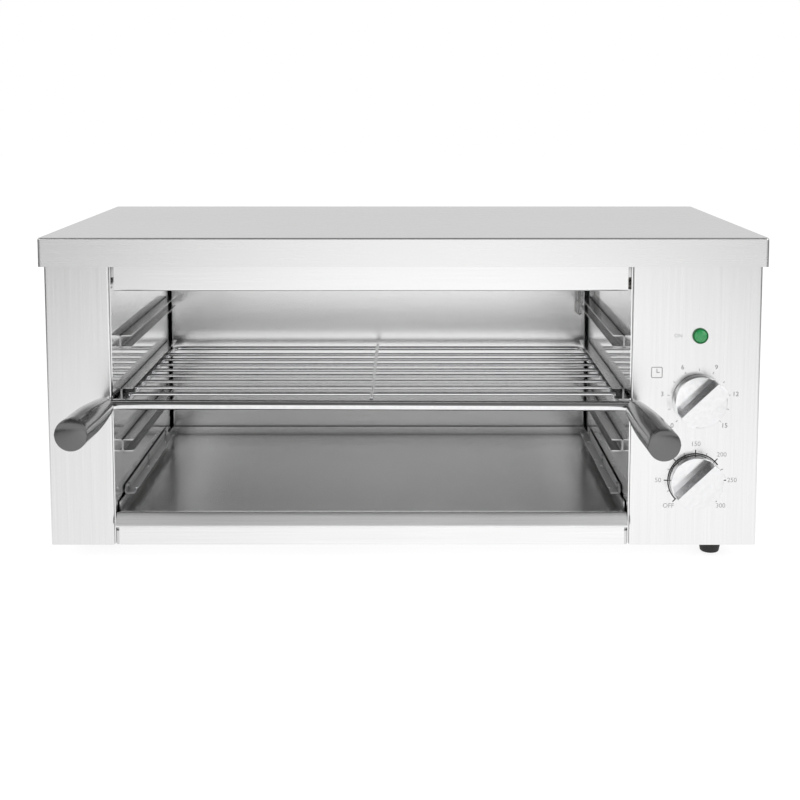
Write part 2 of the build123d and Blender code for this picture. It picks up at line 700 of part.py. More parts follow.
def rack_wire_grid():
    """The welded grid: a U of side and rear rods, the cross wires and the wire down the middle."""
    left, right = RACK_MIDDLE - SIDE_ROD_SPAN / 2, RACK_MIDDLE + SIDE_ROD_SPAN / 2
    start = BAR_DEPTH + BAR_RADIUS
    u_rod = bent_rod(
        [
            (left, start, SIDE_ROD_HEIGHT),
            (left, REAR_ROD_DEPTH, SIDE_ROD_HEIGHT),
            (right, REAR_ROD_DEPTH, SIDE_ROD_HEIGHT),
            (right, start, SIDE_ROD_HEIGHT),
        ],
        SIDE_ROD_RADIUS,
        [REAR_ROD_BEND, REAR_ROD_BEND],
    )
    grid = u_rod
    for index in range(CROSS_WIRE_COUNT):
        depth = CROSS_WIRE_FIRST + index * CROSS_WIRE_PITCH
        grid += along_x(CROSS_WIRE_RADIUS, (left - 1, right + 1), depth, CROSS_WIRE_HEIGHT)
    end = REAR_ROD_DEPTH + CENTRE_WIRE_HOOK
    grid += bent_rod(
        [
            (RACK_MIDDLE, start, CENTRE_WIRE_HEIGHT),
            (RACK_MIDDLE, REAR_ROD_DEPTH - CENTRE_WIRE_DROP, CENTRE_WIRE_HEIGHT),
            (RACK_MIDDLE, end, SIDE_ROD_HEIGHT + SIDE_ROD_RADIUS + 0.7),
            (RACK_MIDDLE, end, SIDE_ROD_HEIGHT - 1),
        ],
        CENTRE_WIRE_RADIUS,
        [8, 2],
    )
    return grid - rack_front_bar()


def rack_tang_points(side):
    """The grip's axis as two (X, depth, Z) points: at the bar, and where the tang ends in the grip."""
    (bar_x, bar_z), (tip_x, tip_z) = GRIPS[side]
    share = TANG_LENGTH / (GRIP_REACH + BAR_DEPTH)
    tang_x = bar_x + (tip_x - bar_x) * share
    tang_z = bar_z + (tip_z - bar_z) * share
    return (bar_x, BAR_DEPTH, bar_z), (tang_x, BAR_DEPTH - TANG_LENGTH, tang_z)


def rack_front_bar():
    """The rack's front bar, bent forward at both ends into the grips."""
    left_bar, left_end = rack_tang_points("left")
    right_bar, right_end = rack_tang_points("right")
    return bent_rod([left_end, left_bar, right_bar, right_end], BAR_RADIUS, [BAR_BEND, BAR_BEND])


def rack_grip(side):
    """A moulded grip whose barrel swells towards its tip, bored for the bar's bent end."""
    (bar_x, bar_z), (tip_x, tip_z) = GRIPS[side]
    tip = Vector(tip_x, FRONT - GRIP_REACH, tip_z)
    axis = tip - Vector(bar_x, FRONT + BAR_DEPTH, bar_z)
    outward = axis.normalized()
    length = axis.length * (GRIP_REACH + GRIP_BACK) / (GRIP_REACH + BAR_DEPTH)
    back = (GRIP_BACK_RADIUS, GRIP_RIM)
    front = (GRIP_TIP_RADIUS, length - GRIP_RIM)
    barrel = ThreePointArc(back, (GRIP_WAIST_RADIUS, length * GRIP_WAIST_SHARE), front)
    back_end = Polyline((0, GRIP_RIM), (0, 0), (GRIP_BACK_RADIUS - GRIP_RIM, 0), back)
    front_end = Polyline(front, (GRIP_TIP_RADIUS - GRIP_RIM, length), (0, length), (0, GRIP_RIM))
    body = revolve(Plane.XZ * make_face(back_end + barrel + front_end), Axis.Z)
    bore = extrude(Circle(BAR_RADIUS + TANG_CLEARANCE), TANG_LENGTH + GRIP_BACK - BAR_DEPTH + 0.5)
    return Plane(origin=tip - outward * length, z_dir=outward) * (body - bore)


def crumb_tray():
    """The shallow tray: floor, three upstands, and a sloping lip at the front to pull it by."""
    left, right = OPENING_LEFT + TRAY_SIDE_GAP, OPENING_RIGHT - TRAY_SIDE_GAP
    shell = tray_shell((left, right), (0, TRAY_BACK), (TRAY_FLOOR - SHEET, TRAY_UPSTAND))
    shell -= block((left - 1, right + 1), (-1, TRAY_RAMP_DEPTH), (TRAY_FLOOR - 5, TRAY_UPSTAND + 1))
    side_view = [
        (TRAY_RAMP_DEPTH + 8, TRAY_FLOOR),
        (TRAY_RAMP_DEPTH, TRAY_FLOOR),
        (TRAY_RIM_DEPTH, TRAY_LIP_TOP),
        (TRAY_LIP_DEPTH, TRAY_LIP_BOTTOM),
        (TRAY_RETURN_DEPTH, TRAY_LIP_BOTTOM - 1),
    ]
    front = fold_across(side_view, (left, right), thickness=SHEET, bend=0.5)
    return shell + front


# ---- feet, fasteners and fittings -------------------------------------------------------------------


def foot(place):
    """A tapered rubber foot, counterbored from below for its screw."""
    x, depth = place
    body = at(x, depth, BODY_BOTTOM / 2) * Cone(FOOT_BOTTOM_RADIUS, FOOT_TOP_RADIUS, BODY_BOTTOM)
    body -= at(x, depth, BODY_BOTTOM / 2) * Cylinder(SCREW_HOLE_RADIUS, BODY_BOTTOM + 2)
    well = FOOT_SCREW_HEAD_Z + SCREW_HEAD_HEIGHT
    return body - at(x, depth, well / 2) * Cylinder(FOOT_WELL_RADIUS, well)


def foot_screws():
    """The four screws that come up through the feet."""
    screws = []
    for x, depth in FEET.values():
        head_top = FOOT_SCREW_HEAD_Z + SCREW_HEAD_HEIGHT
        head = at(x, depth, head_top - SCREW_HEAD_HEIGHT / 2) * Cylinder(SCREW_HEAD_RADIUS, SCREW_HEAD_HEIGHT)
        middle = (head_top + FOOT_SCREW_TOP) / 2
        shank = at(x, depth, middle) * Cylinder(SCREW_RADIUS, FOOT_SCREW_TOP - head_top)
        screws.append((head + shank).solid())
    return Compound(children=screws)


def foot_nuts():
    """The four nuts on the feet's screws, on the base plate."""
    nuts = []
    for x, depth in FEET.values():
        section = RegularPolygon(NUT_RADIUS, 6) - Circle(SCREW_RADIUS)
        nuts.append((at(x, depth, BODY_BOTTOM + SHEET) * extrude(section, NUT_HEIGHT)).solid())
    return Compound(children=nuts)


def rear_screw_places():
    """Where the back's screws are, as X and Z: six in the casings and three in the lid's lip."""
    sides = [(side * REAR_SCREW_X, z) for side in (-1, 1) for z in REAR_SCREW_ZS]
    return sides + [(x, LID_SCREW_Z) for x in LID_SCREW_XS]


def rear_screws():
    """The screws in the back: head outside, shank through both sheets."""
    screws = []
    for x, z in rear_screw_places():
        face = LID_BACK if z == LID_SCREW_Z else BODY_BACK
        head = along_depth(SCREW_HEAD_RADIUS, x, (face, face + SCREW_HEAD_HEIGHT), z)
        shank = along_depth(SCREW_RADIUS, x, (face - REAR_SCREW_LENGTH, face), z)
        screws.append((head + shank).solid())
    return Compound(children=screws)


def cable_gland():
    """The supply cable's gland, bored right through, with its hexagon outside the back."""
    gland = along_depth(GLAND_THREAD_RADIUS, GLAND_X, (GLAND_INNER_END, BODY_BACK), GLAND_Z)
    dome = BODY_BACK + GLAND_HEX_LENGTH
    gland += hexagon_along_depth(GLAND_HEX_RADIUS, GLAND_X, (BODY_BACK, dome), GLAND_Z)
    gland += along_depth(GLAND_DOME_RADIUS, GLAND_X, (dome, GLAND_REACH), GLAND_Z)
    return gland - along_depth(GLAND_BORE, GLAND_X, (GLAND_INNER_END - 1, GLAND_REACH + 1), GLAND_Z)


def gland_nut():
    """The gland's lock nut, against the inside of the back."""
    span = (BODY_BACK - SHEET - GLAND_HEX_LENGTH, BODY_BACK - SHEET)
    nut = hexagon_along_depth(GLAND_HEX_RADIUS + 0.5, GLAND_X, span, GLAND_Z)
    return nut - along_depth(GLAND_THREAD_RADIUS, GLAND_X, (span[0] - 1, span[1] + 1), GLAND_Z)


def terminal_block():
    """The supply terminal block on the base, with three wire ways through it."""
    foot = BODY_BOTTOM + SHEET
    top = foot + BLOCK_HEIGHT
    body = block(BLOCK_X, BLOCK_DEPTH, (foot, top))
    way = (BLOCK_DEPTH[0] - 1, BLOCK_DEPTH[1] + 1)
    for x in BLOCK_WAY_XS:
        body -= along_depth(BLOCK_WAY_RADIUS, x, way, foot + BLOCK_WAY_HEIGHT)
        body -= at(x, sum(BLOCK_DEPTH) / 2, top) * Cylinder(BLOCK_SCREW_RADIUS, 2 * BLOCK_SCREW_DEPTH)
    return body


def make_parts():
    """Every piece by name."""
    parts = {
        "top_cover": top_cover(),
        "left_side_casing": side_casing(-1, OPENING_LEFT),
        "right_control_casing": control_casing(),
        "rear_panel": rear_panel(),
        "base_plate": base_plate(),
        "upper_front_fascia": upper_front_fascia(),
        "lower_front_fascia": lower_front_fascia(),
        "cavity_left_wall": cavity_side_wall(-1, OPENING_LEFT),
        "cavity_right_wall": cavity_right_wall(),
        "cavity_back_wall": cavity_back_wall(),
        "cavity_ceiling": cavity_ceiling(),
        "cavity_floor": cavity_floor(),
        "tray_rail_rivets": tray_rail_rivets(),
        "element_flanges": element_flanges(),
        "element_insulators": element_insulators(),
        "element_terminals": element_terminals(),
        "insulation_blanket": insulation_blanket(),
        "thermostat_sensor": thermostat_sensor(),
        "control_screws": control_screws(),
        "pilot_lamp_lens": pilot_lamp_lens(),
        "pilot_lamp_body": pilot_lamp_body(),
        "rack_wire_grid": rack_wire_grid(),
        "rack_front_bar": rack_front_bar(),
        "crumb_tray": crumb_tray(),
        "foot_screws": foot_screws(),
        "foot_nuts": foot_nuts(),
        "rear_screws": rear_screws(),
        "cable_gland": cable_gland(),
        "gland_nut": gland_nut(),
        "terminal_block": terminal_block(),
    }
    for name, side, wall in (("left", -1, OPENING_LEFT), ("right", 1, OPENING_RIGHT)):
        for level, bottom in enumerate(CHANNEL_BOTTOMS, start=1):
            parts[f"runner_{name}_{level}"] = channel_runner(side, wall, bottom)
        parts[f"tray_rail_{name}"] = tray_rail(side, wall)
        parts[f"rack_grip_{name}"] = rack_grip(name)
        parts[f"element_support_{name}"] = element_support(ELEMENT_SUPPORTS[name])
    for name, runs in ELEMENT_RUNS.items():
        parts[f"heating_element_{name}"] = heating_element(runs)
    for name, control in CONTROLS.items():
        parts[f"{name}_body"] = control_body(control)
        parts[f"{name}_spindle"] = control_spindle(control)
        parts[f"{name}_knob"] = knob(control)
    for name, place in FEET.items():
        parts[f"foot_{name}"] = foot(place)
    return parts


os.makedirs("parts", exist_ok=True)
for part_name, part_shape in make_parts().items():
    export_step(part_shape, f"parts/{part_name}.step")
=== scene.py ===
"""Cheese melter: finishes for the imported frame, detailed pieces, studio and camera.

Metres, in the frame's own axes: +X to the user's right, +Y to the back, +Z up.
"""

from __future__ import annotations

import functools
import logging
import math
from collections.abc import Callable, Sequence
from dataclasses import dataclass
from enum import Enum

import bmesh
import bpy
from mathutils import Matrix, Vector


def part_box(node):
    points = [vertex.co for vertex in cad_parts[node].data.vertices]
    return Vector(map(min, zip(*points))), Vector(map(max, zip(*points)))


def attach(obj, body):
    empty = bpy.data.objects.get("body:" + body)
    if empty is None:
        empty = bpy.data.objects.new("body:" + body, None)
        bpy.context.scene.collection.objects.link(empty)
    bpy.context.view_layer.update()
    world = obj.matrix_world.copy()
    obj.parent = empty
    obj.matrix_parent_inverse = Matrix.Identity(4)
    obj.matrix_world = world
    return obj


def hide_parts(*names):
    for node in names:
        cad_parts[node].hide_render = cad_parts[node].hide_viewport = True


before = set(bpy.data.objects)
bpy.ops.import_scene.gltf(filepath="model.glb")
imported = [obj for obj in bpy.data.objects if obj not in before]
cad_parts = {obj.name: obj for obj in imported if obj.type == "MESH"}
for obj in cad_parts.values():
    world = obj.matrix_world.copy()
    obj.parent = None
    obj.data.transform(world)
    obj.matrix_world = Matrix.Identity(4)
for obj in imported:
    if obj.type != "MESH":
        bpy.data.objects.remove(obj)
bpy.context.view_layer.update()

LOG = logging.getLogger("cheese_melter")
MM = 0.001
WELD = 0.01 * MM
TOUCH = 0.001 * MM
HOUSING = "housing"
RACK = "rack"
FORWARD = Vector((0.0, -1.0, 0.0))
BACKWARD = Vector((0.0, 1.0, 0.0))
UP = Vector((0.0, 0.0, 1.0))
ON_PANEL = (math.pi / 2, 0.0, 0.0)
WHITE = (1.0, 1.0, 1.0, 1.0)
OPEN_SHARES = (0.35, 0.95)
NOISE_MIDDLE = (0.3, 0.7)

Triple = tuple[float, float, float]
Corner = tuple[Vector, Vector]
Ring = tuple[float, float]
Span = tuple[float, float]
Socket = bpy.types.NodeSocket
Inputs = dict[str | int, object]
MeshPart = bmesh.types.BMFace | bmesh.types.BMEdge


# ---- node trees -------------------------------------------------------------------------------------


class Grain(Enum):
    """The way a sheet is brushed: pattern scales per metre along X, Y and Z."""

    ALONG_X = (9.0, 620.0, 620.0)
    ALONG_Y = (620.0, 9.0, 620.0)
    ALONG_Z = (620.0, 620.0, 9.0)


class Blend(Enum):
    """What a mix node mixes: its data type, the numbers of its two inputs and of its output."""

    VALUES = ("FLOAT", 2, 3, 0)
    COLOURS = ("RGBA", 6, 7, 2)


class NodeBench:
    """The node tree of a material or the world, with short ways to add nodes and join them."""

    def __init__(self, owner: bpy.types.Material | bpy.types.World) -> None:
        """Empties the owner's tree and adds its output.

        Args:
            owner: The material or the world.
        """
        owner.use_nodes = True
        self.owner = owner
        self.tree = owner.node_tree
        self.tree.nodes.clear()
        kind = "World" if isinstance(owner, bpy.types.World) else "Material"
        self.end = self.add(f"ShaderNodeOutput{kind}")

    def add(self, kind: str, inputs: Inputs | None = None, **settings: object) -> bpy.types.Node:
        """Adds a node.

        Args:
            kind: The node's Blender type name.
            inputs: For its sockets, by name or number: a value, or the socket that it comes from.
            settings: Values for its own properties.

        Returns:
            The new node.
        """
        node = self.tree.nodes.new(kind)
        for name, value in settings.items():
            setattr(node, name, value)
        for name, value in (inputs or {}).items():
            if isinstance(value, Socket):
                self.tree.links.new(value, node.inputs[name])
            else:
                node.inputs[name].default_value = value
        return node

    def first(self, kind: str, inputs: Inputs | None = None, **settings: object) -> Socket:
        """Adds a node and gives its first output."""
        return self.add(kind, inputs, **settings).outputs[0]

    def show(self, shader: Socket) -> None:
        """Makes a shader what the tree shows."""
        self.tree.links.new(shader, self.end.inputs["Surface"])

    def principled(self, inputs: Inputs) -> bpy.types.Material:
        """Ends the tree with a surface that has these inputs, and gives the finished material."""
        self.show(self.first("ShaderNodeBsdfPrincipled", inputs))
        return self.owner

    def math(self, operation: str, *values: Socket | float) -> Socket:
        """The result of a calculation."""
        return self.first("ShaderNodeMath", dict(enumerate(values)), operation=operation)

    def product(self, *values: Socket) -> Socket:
        """Some values multiplied."""
        return functools.reduce(lambda first, second: self.math("MULTIPLY", first, second), values)

    def ranged(self, value: Socket, start: Span, end: Span, way: str = "LINEAR") -> Socket:
        """Maps a value from one range to another.

        Args:
            value: The value.
            start: The range that it comes from.
            end: The range that it goes to.
            way: How it runs between their ends.

        Returns:
            The mapped value.
        """
        limits = {"From Min": start[0], "From Max": start[1], "To Min": end[0], "To Max": end[1]}
        return self.first("ShaderNodeMapRange", {"Value": value, **limits}, interpolation_type=way)

    def eased(self, value: Socket, start: Span, end: Span) -> Socket:
        """Maps a value from one range to another, easing in and out."""
        return self.ranged(value, start, end, "SMOOTHSTEP")

    def spread(self, factor: Socket, low: float, high: float) -> Socket:
        """Maps the middle part of a noise onto a range of values."""
        return self.ranged(factor, NOISE_MIDDLE, (low, high))

    def place(self, axis: str) -> Socket:
        """One of the Object coordinates."""
        place = self.add("ShaderNodeTexCoord").outputs["Object"]
        return self.add("ShaderNodeSeparateXYZ", {0: place}).outputs[axis]

    def noise(self, scale: Sequence[float], detail: float = 3.0, roughness: float = 0.55) -> Socket:
        """A noise pattern on Object coordinates, from 0 to 1.

        Args:
            scale: The pattern's scale along X, Y and Z, per metre.
            detail: How many finer layers it has.
            roughness: How strong the finer layers are.

        Returns:
            The noise factor.
        """
        place = self.add("ShaderNodeTexCoord").outputs["Object"]
        stretched = self.first("ShaderNodeMapping", {"Vector": place, "Scale": tuple(scale)})
        pattern = {"Vector": stretched, "Scale": 1.0, "Detail": detail, "Roughness": roughness}
        return self.first("ShaderNodeTexNoise", pattern)

    def tint(self, factor: Socket, dark: Triple, light: Triple) -> Socket:
        """A colour that a noise varies.

        Args:
            factor: The noise factor.
            dark: The colour below the middle part of it.
            light: The colour above that.

        Returns:
            The colour.
        """
        ramp = self.add("ShaderNodeValToRGB", {"Fac": factor})
        for element, position, colour in zip(ramp.color_ramp.elements, NOISE_MIDDLE, (dark, light)):
            element.position = position
            element.color = (*colour, 1.0)
        return ramp.outputs["Color"]

    def bump(self, factor: Socket, depth: float, strength: float) -> Socket:
        """The normal over a height pattern of that depth in metres, of which a share shows."""
        return self.first("ShaderNodeBump", {"Height": factor, "Distance": depth, "Strength": strength})

    def scaled(self, colour: Socket, factor: Socket | float) -> Socket:
        """A colour made lighter or darker by a factor."""
        return self.first("ShaderNodeVectorMath", {0: colour, "Scale": factor}, operation="SCALE")

    def corner_shaded(self, colour: Socket, dark: float, reach: float) -> Socket:
        """A colour with painted shade: darker, down to a share of itself, within reach of corners and narrow
        gaps.
        """
        open_share = self.add("ShaderNodeAmbientOcclusion", {"Distance": reach}, samples=6).outputs["AO"]
        return self.scaled(colour, self.ranged(open_share, OPEN_SHARES, (dark, 1.0)))

    def blend(
        self,
        what: Blend,
        factor: Socket | float,
        first: Socket,
        second: Socket | float,
        mode: str = "MIX",
    ) -> Socket:
        """Mixes two values or colours.

        Args:
            what: Which of the two it mixes.
            factor: The share of the second.
            first: The first value or colour.
            second: The second one.
            mode: Blender's name for how they mix.

        Returns:
            The mixed value or colour.
        """
        kind, low, high, output = what.value
        inputs = {0: factor, low: first, high: second}
        return self.add("ShaderNodeMix", inputs, data_type=kind, blend_type=mode).outputs[output]


def shade(colour: Triple, factor: float) -> Triple:
    """The colour made darker or lighter by a factor."""
    return (colour[0] * factor, colour[1] * factor, colour[2] * factor)


# ---- finishes ---------------------------------------------------------------------------------------


@dataclass(frozen=True)
class SheetSteel:
    """Stainless sheet with fine lines along its grain, faint large clouds and, where set, painted shade in
    its corners and gaps.

    Attributes:
        name: The material's name.
        colour: Its mean colour.
        roughness: Its mean roughness.
        grain: The way its lines run.
        streak: How much the lines vary colour and roughness.
        cloud: How much the large clouds vary the colour.
        corner_shade: How dark the painted shade in the steel's corners and gaps is; 1 paints none.
        corner_shade_reach: How far the painted shade reaches out of a corner.
        relief: How much of the lines' depth shows.
        folded_beyond: How far out its ends are folded down.
        matte_before: The depth in front of which the sheet is matte.
        matte_edge: How softly its matte part starts.
        matte_painted_lift: The colour of its matte part, as a share of the rest: painted light that makes
            that part read brighter.
        matte_roughness: The roughness of its matte part.
        line_depth: The depth of the lines.
        gloss_vary: How much more the lines vary the roughness than the colour.
        cloud_scale: The clouds' scale per metre.
    """

    name: str
    colour: Triple
    roughness: float
    grain: Grain
    streak: float = 0.05
    cloud: float = 0.02
    corner_shade: float = 1.0
    corner_shade_reach: float = 8.0 * MM
    relief: float = 0.25
    folded_beyond: float | None = None
    matte_before: float | None = None
    matte_edge: float = 2.0 * MM
    matte_painted_lift: float = 1.1
    matte_roughness: float = 0.8
    line_depth: float = 0.03 * MM
    gloss_vary: float = 2.5
    cloud_scale: float = 5.0

    def lines(self, bench: NodeBench, grain: Grain) -> Socket:
        """The pattern of the lines along a grain."""
        return bench.noise(grain.value, detail=4.0, roughness=0.7)

    def material(self) -> bpy.types.Material:
        """Builds the finish.

        Returns:
            The material.
        """
        bench = NodeBench(bpy.data.materials.new(self.name))
        lines = self.lines(bench, self.grain)
        if self.folded_beyond is not None:
            folded = bench.math("GREATER_THAN", bench.math("ABSOLUTE", bench.place("X")), self.folded_beyond)
            lines = bench.blend(Blend.VALUES, folded, lines, self.lines(bench, Grain.ALONG_Y))
        clouds = bench.noise((self.cloud_scale,) * 3, detail=2.0)
        darker, lighter = shade(self.colour, 1.0 - self.streak), shade(self.colour, 1.0 + self.streak)
        cloud_tint = bench.tint(clouds, (1.0 - self.cloud,) * 3, WHITE[:3])
        colour = bench.blend(Blend.COLOURS, 1.0, bench.tint(lines, darker, lighter), cloud_tint, "MULTIPLY")
        vary = self.gloss_vary * self.streak
        roughness = bench.spread(lines, self.roughness * (1.0 - vary), self.roughness * (1.0 + vary))
        # Painted shade: the colour darkens by ambient occlusion near corners and narrow gaps.
        if self.corner_shade < 1.0:
            colour = bench.corner_shaded(colour, self.corner_shade, self.corner_shade_reach)
        if self.matte_before is not None:
            edge = (self.matte_before - self.matte_edge, self.matte_before + self.matte_edge)
            mask = bench.ranged(bench.place("Y"), edge, (1.0, 0.0))
            # Painted light: the matte part's colour is lifted above the rest's, while its roughness really
            # changes.
            colour = bench.blend(Blend.COLOURS, mask, colour, bench.scaled(colour, self.matte_painted_lift))
            roughness = bench.blend(Blend.VALUES, mask, roughness, self.matte_roughness)
        normal = bench.bump(lines, self.line_depth, self.relief)
        looks = {"Metallic": 1.0, "Base Color": colour, "Roughness": roughness, "Normal": normal}
        return bench.principled(looks)


@dataclass(frozen=True)
class BareMetal:
    """Plated or drawn metal with faint mottling.

    Attributes:
        name: The material's name.
        colour: Its mean colour.
        dark: The colour of its duller spots.
        roughness: Its mean roughness.
        mottle: The mottling's scale per metre.
        depth: The mottling's depth in metres.
    """

    name: str
    colour: Triple
    dark: Triple
    roughness: float
    mottle: float = 260.0
    depth: float = 0.02 * MM

    def material(self) -> bpy.types.Material:
        """Builds the finish.

        Returns:
            The material.
        """
        bench = NodeBench(bpy.data.materials.new(self.name))
        spots = bench.noise((self.mottle,) * 3, detail=3.0)
        looks = {
            "Metallic": 1.0,
            "Base Color": bench.tint(spots, self.dark, self.colour),
            "Roughness": bench.spread(spots, self.roughness * 1.25, self.roughness * 0.8),
            "Normal": bench.bump(spots, self.depth, 0.3),
        }
        return bench.principled(looks)


@dataclass(frozen=True)
class Moulding:
    """Plastic, rubber, ceramic or fibre: a colour with fine grain in colour, gloss and height.

    Attributes:
        name: The material's name.
        colour: Its mean colour.
        roughness: Its mean roughness.
        grain: The grain's scale per metre.
        vary: How much the grain varies the colour.
        depth: The grain's depth in metres.
        coat: The clear gloss over it.
        coat_roughness: The roughness of that gloss.
        ior: Its index of refraction, which sets how strongly it mirrors.
    """

    name: str
    colour: Triple
    roughness: float
    grain: float = 900.0
    vary: float = 0.12
    depth: float = 0.04 * MM
    coat: float = 0.0
    ior: float = 1.5
    coat_roughness: float = 0.08

    def material(self) -> bpy.types.Material:
        """Builds the finish.

        Returns:
            The material.
        """
        bench = NodeBench(bpy.data.materials.new(self.name))
        grain = bench.noise((self.grain,) * 3, detail=4.0)
        dark, light = shade(self.colour, 1.0 - self.vary), shade(self.colour, 1.0 + self.vary)
        looks = {
            "Coat Weight": self.coat,
            "Coat Roughness": self.coat_roughness,
            "IOR": self.ior,
            "Base Color": bench.tint(grain, dark, light),
            "Roughness": bench.spread(grain, self.roughness * 0.85, self.roughness * 1.15),
            "Normal": bench.bump(grain, self.depth, 0.4),
        }
        return bench.principled(looks)


class Finishes:
    """Every finish of the grill, each built once."""

    lid = SheetSteel("lid_steel", (0.88,) * 3, 0.27, Grain.ALONG_X, 0.01, relief=0.04, folded_beyond=0.3046)
    column = SheetSteel("column_steel", (0.89,) * 3, 0.24, Grain.ALONG_Z, 0.03)
    strip = SheetSteel("strip_steel", (0.92,) * 3, 0.25, Grain.ALONG_X, 0.03)
    back = SheetSteel("back_steel", (0.72,) * 3, 0.34, Grain.ALONG_X)
    cavity_side = SheetSteel("cavity_side_steel", (0.93,) * 3, 0.08, Grain.ALONG_Y, 0.03, corner_shade=0.5)
    cavity_back = SheetSteel(
        "cavity_back_steel", (0.95,) * 3, 0.24, Grain.ALONG_X, 0.02, corner_shade=0.3, relief=0.06
    )
    runner = SheetSteel("runner_steel", (0.80,) * 3, 0.20, Grain.ALONG_Y, corner_shade=0.25)
    rail = SheetSteel("rail_steel", (0.82,) * 3, 0.35, Grain.ALONG_Y, corner_shade=0.45)
    tray = SheetSteel("tray_steel", (0.89,) * 3, 0.22, Grain.ALONG_X, 0.04, corner_shade=0.4, matte_before=-0.0925)
    wire = BareMetal("rack_chrome", (0.90, 0.90, 0.91), (0.84, 0.84, 0.85), 0.13)
    knob = BareMetal("knob_plating", (0.90, 0.90, 0.91), (0.85, 0.85, 0.86), 0.16)
    fastener = BareMetal("zinc_plate", (0.64, 0.64, 0.63), (0.50, 0.50, 0.49), 0.30)
    sheath = BareMetal("element_sheath", (0.20, 0.185, 0.17), (0.11, 0.10, 0.10), 0.45, 180.0)
    grip = Moulding("grip_phenolic", (0.014, 0.014, 0.015), 0.16, 420.0, 0.3, 0.03 * MM, 1.0, 2.1)
    rubber = Moulding("foot_rubber", (0.018,) * 3, 0.62, 1500.0, 0.2)
    nylon = Moulding("gland_nylon", (0.03,) * 3, 0.42)
    ceramic = Moulding("collar_ceramic", (0.80, 0.77, 0.70), 0.55, 700.0, 0.05)
    housing = Moulding("switch_moulding", (0.74, 0.73, 0.69), 0.45, 800.0, 0.05)
    blanket = Moulding("mineral_fibre", (0.72, 0.69, 0.60), 0.95, 260.0, 0.12, 1.2 * MM)
    lens = Moulding("lens_green", (0.022, 0.30, 0.085), 0.16, 1200.0, 0.2, 0.03 * MM, 0.8)
    lens_ring = Moulding("lens_ring", (0.008, 0.12, 0.03), 0.35, 1200.0, 0.2)
    print_black = Moulding("print_black", (0.022, 0.022, 0.024), 0.55, 2600.0, 0.3)
    print_grey = Moulding("print_grey", (0.19,) * 3, 0.6, 2600.0, 0.2)
    print_pale = Moulding("print_pale", (0.42,) * 3, 0.6, 2600.0, 0.2)

    def __init__(self) -> None:
        """Starts with no material built."""
        self.built: dict[str, bpy.types.Material] = {}

    def get(self, finish: Finish) -> bpy.types.Material:
        """The material of a finish, built at its first use.

        Args:
            finish: The finish.

        Returns:
            Its material.
        """
        if finish.name not in self.built:
            self.built[finish.name] = finish.material()
        return self.built[finish.name]


Finish = SheetSteel | BareMetal | Moulding

NODE_FINISHES: dict[str, Finish] = {
    name: finish
    for finish, names in (
        (Finishes.lid, ("top_cover",)),
        (Finishes.column, ("left_side_casing", "right_control_casing")),
        (Finishes.strip, ("upper_front_fascia", "lower_front_fascia")),
        (Finishes.back, ("rear_panel", "base_plate")),
        (Finishes.cavity_side, ("cavity_left_wall", "cavity_right_wall")),
        (Finishes.cavity_back, ("cavity_back_wall", "cavity_ceiling", "cavity_floor")),
        (Finishes.tray, ("crumb_tray",)),
        (Finishes.wire, ("rack",)),
        (Finishes.runner, ("runner", "element_support")),
        (Finishes.rail, ("tray_rail",)),
        (Finishes.sheath, ("heating_element",)),
        (Finishes.fastener, ("tray_rail_rivets", "element_flanges", "element_terminals")),
        (Finishes.fastener, ("thermostat_sensor", "timer_spindle", "thermostat_spindle")),
        (Finishes.fastener, ("control_screws", "foot_screws", "foot_nuts", "rear_screws")),
        (Finishes.ceramic, ("element_insulators",)),
        (Finishes.blanket, ("insulation_blanket",)),
        (Finishes.knob, ("timer_knob", "thermostat_knob")),
        (Finishes.housing, ("timer_body", "thermostat_body", "pilot_lamp_body", "terminal_block")),
        (Finishes.lens, ("pilot_lamp_lens",)),
        (Finishes.rubber, ("foot",)),
        (Finishes.grip, ("rack_grip",)),
        (Finishes.nylon, ("cable_gland", "gland_nut")),
    )
    for name in names
}


def node_finish(node: str) -> Finish:
    """The finish of a node: the entry with the longest name that the node's name starts with."""
    names = [name for name in NODE_FINISHES if node.startswith(name)]
    return NODE_FINISHES[max(names, key=len)]


def dress_nodes(finishes: Finishes) -> None:
    """Gives every CAD node its finish.

    Args:
        finishes: The grill's finishes.
    """
    for name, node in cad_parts.items():
        material = finishes.get(node_finish(name))
        for slot in node.material_slots:
            slot.material = material
        LOG.info("node %s: %s", name, material.name)


# ---- modelling --------------------------------------------------------------------------------------


def deselect() -> None:
    """Deselects every object, in object mode."""
    if bpy.context.object and bpy.context.object.mode != "OBJECT":
        bpy.ops.object.mode_set(mode="OBJECT")
    bpy.ops.object.select_all(action="DESELECT")


def corners(points: Sequence[Vector]) -> Corner:
    """The lowest and the highest corner of the box round some points."""
    low, high = (Vector(end(point[axis] for point in points) for axis in range(3)) for end in (min, max))
    return low, high


def face_middle(box: Corner, way: Vector) -> Vector:
    """The middle of the side of a box that faces a way."""
    return sum(box, Vector()) / 2 + Vector(size * turn / 2 for size, turn in zip(box[1] - box[0], way))


def rounded(along: float, radius: float, bend: float, start: float, end: float, steps: int = 5) -> list[Ring]:
    """The rings of a rounded edge.

    Args:
        along: The round's centre, along the axis.
        radius: The round's centre, out from the axis.
        bend: The round's own radius.
        start: The angle at which it starts, in degrees: 0 is outward, 90 is forward along the axis.
        end: The angle at which it ends.
        steps: How many rings follow the first.

    Returns:
        The rings, each as its place along the axis and its radius.
    """
    angles = [math.radians(start + (end - start) * step / steps) for step in range(steps + 1)]
    return [(along + bend * math.sin(angle), radius + bend * math.cos(angle)) for angle in angles]


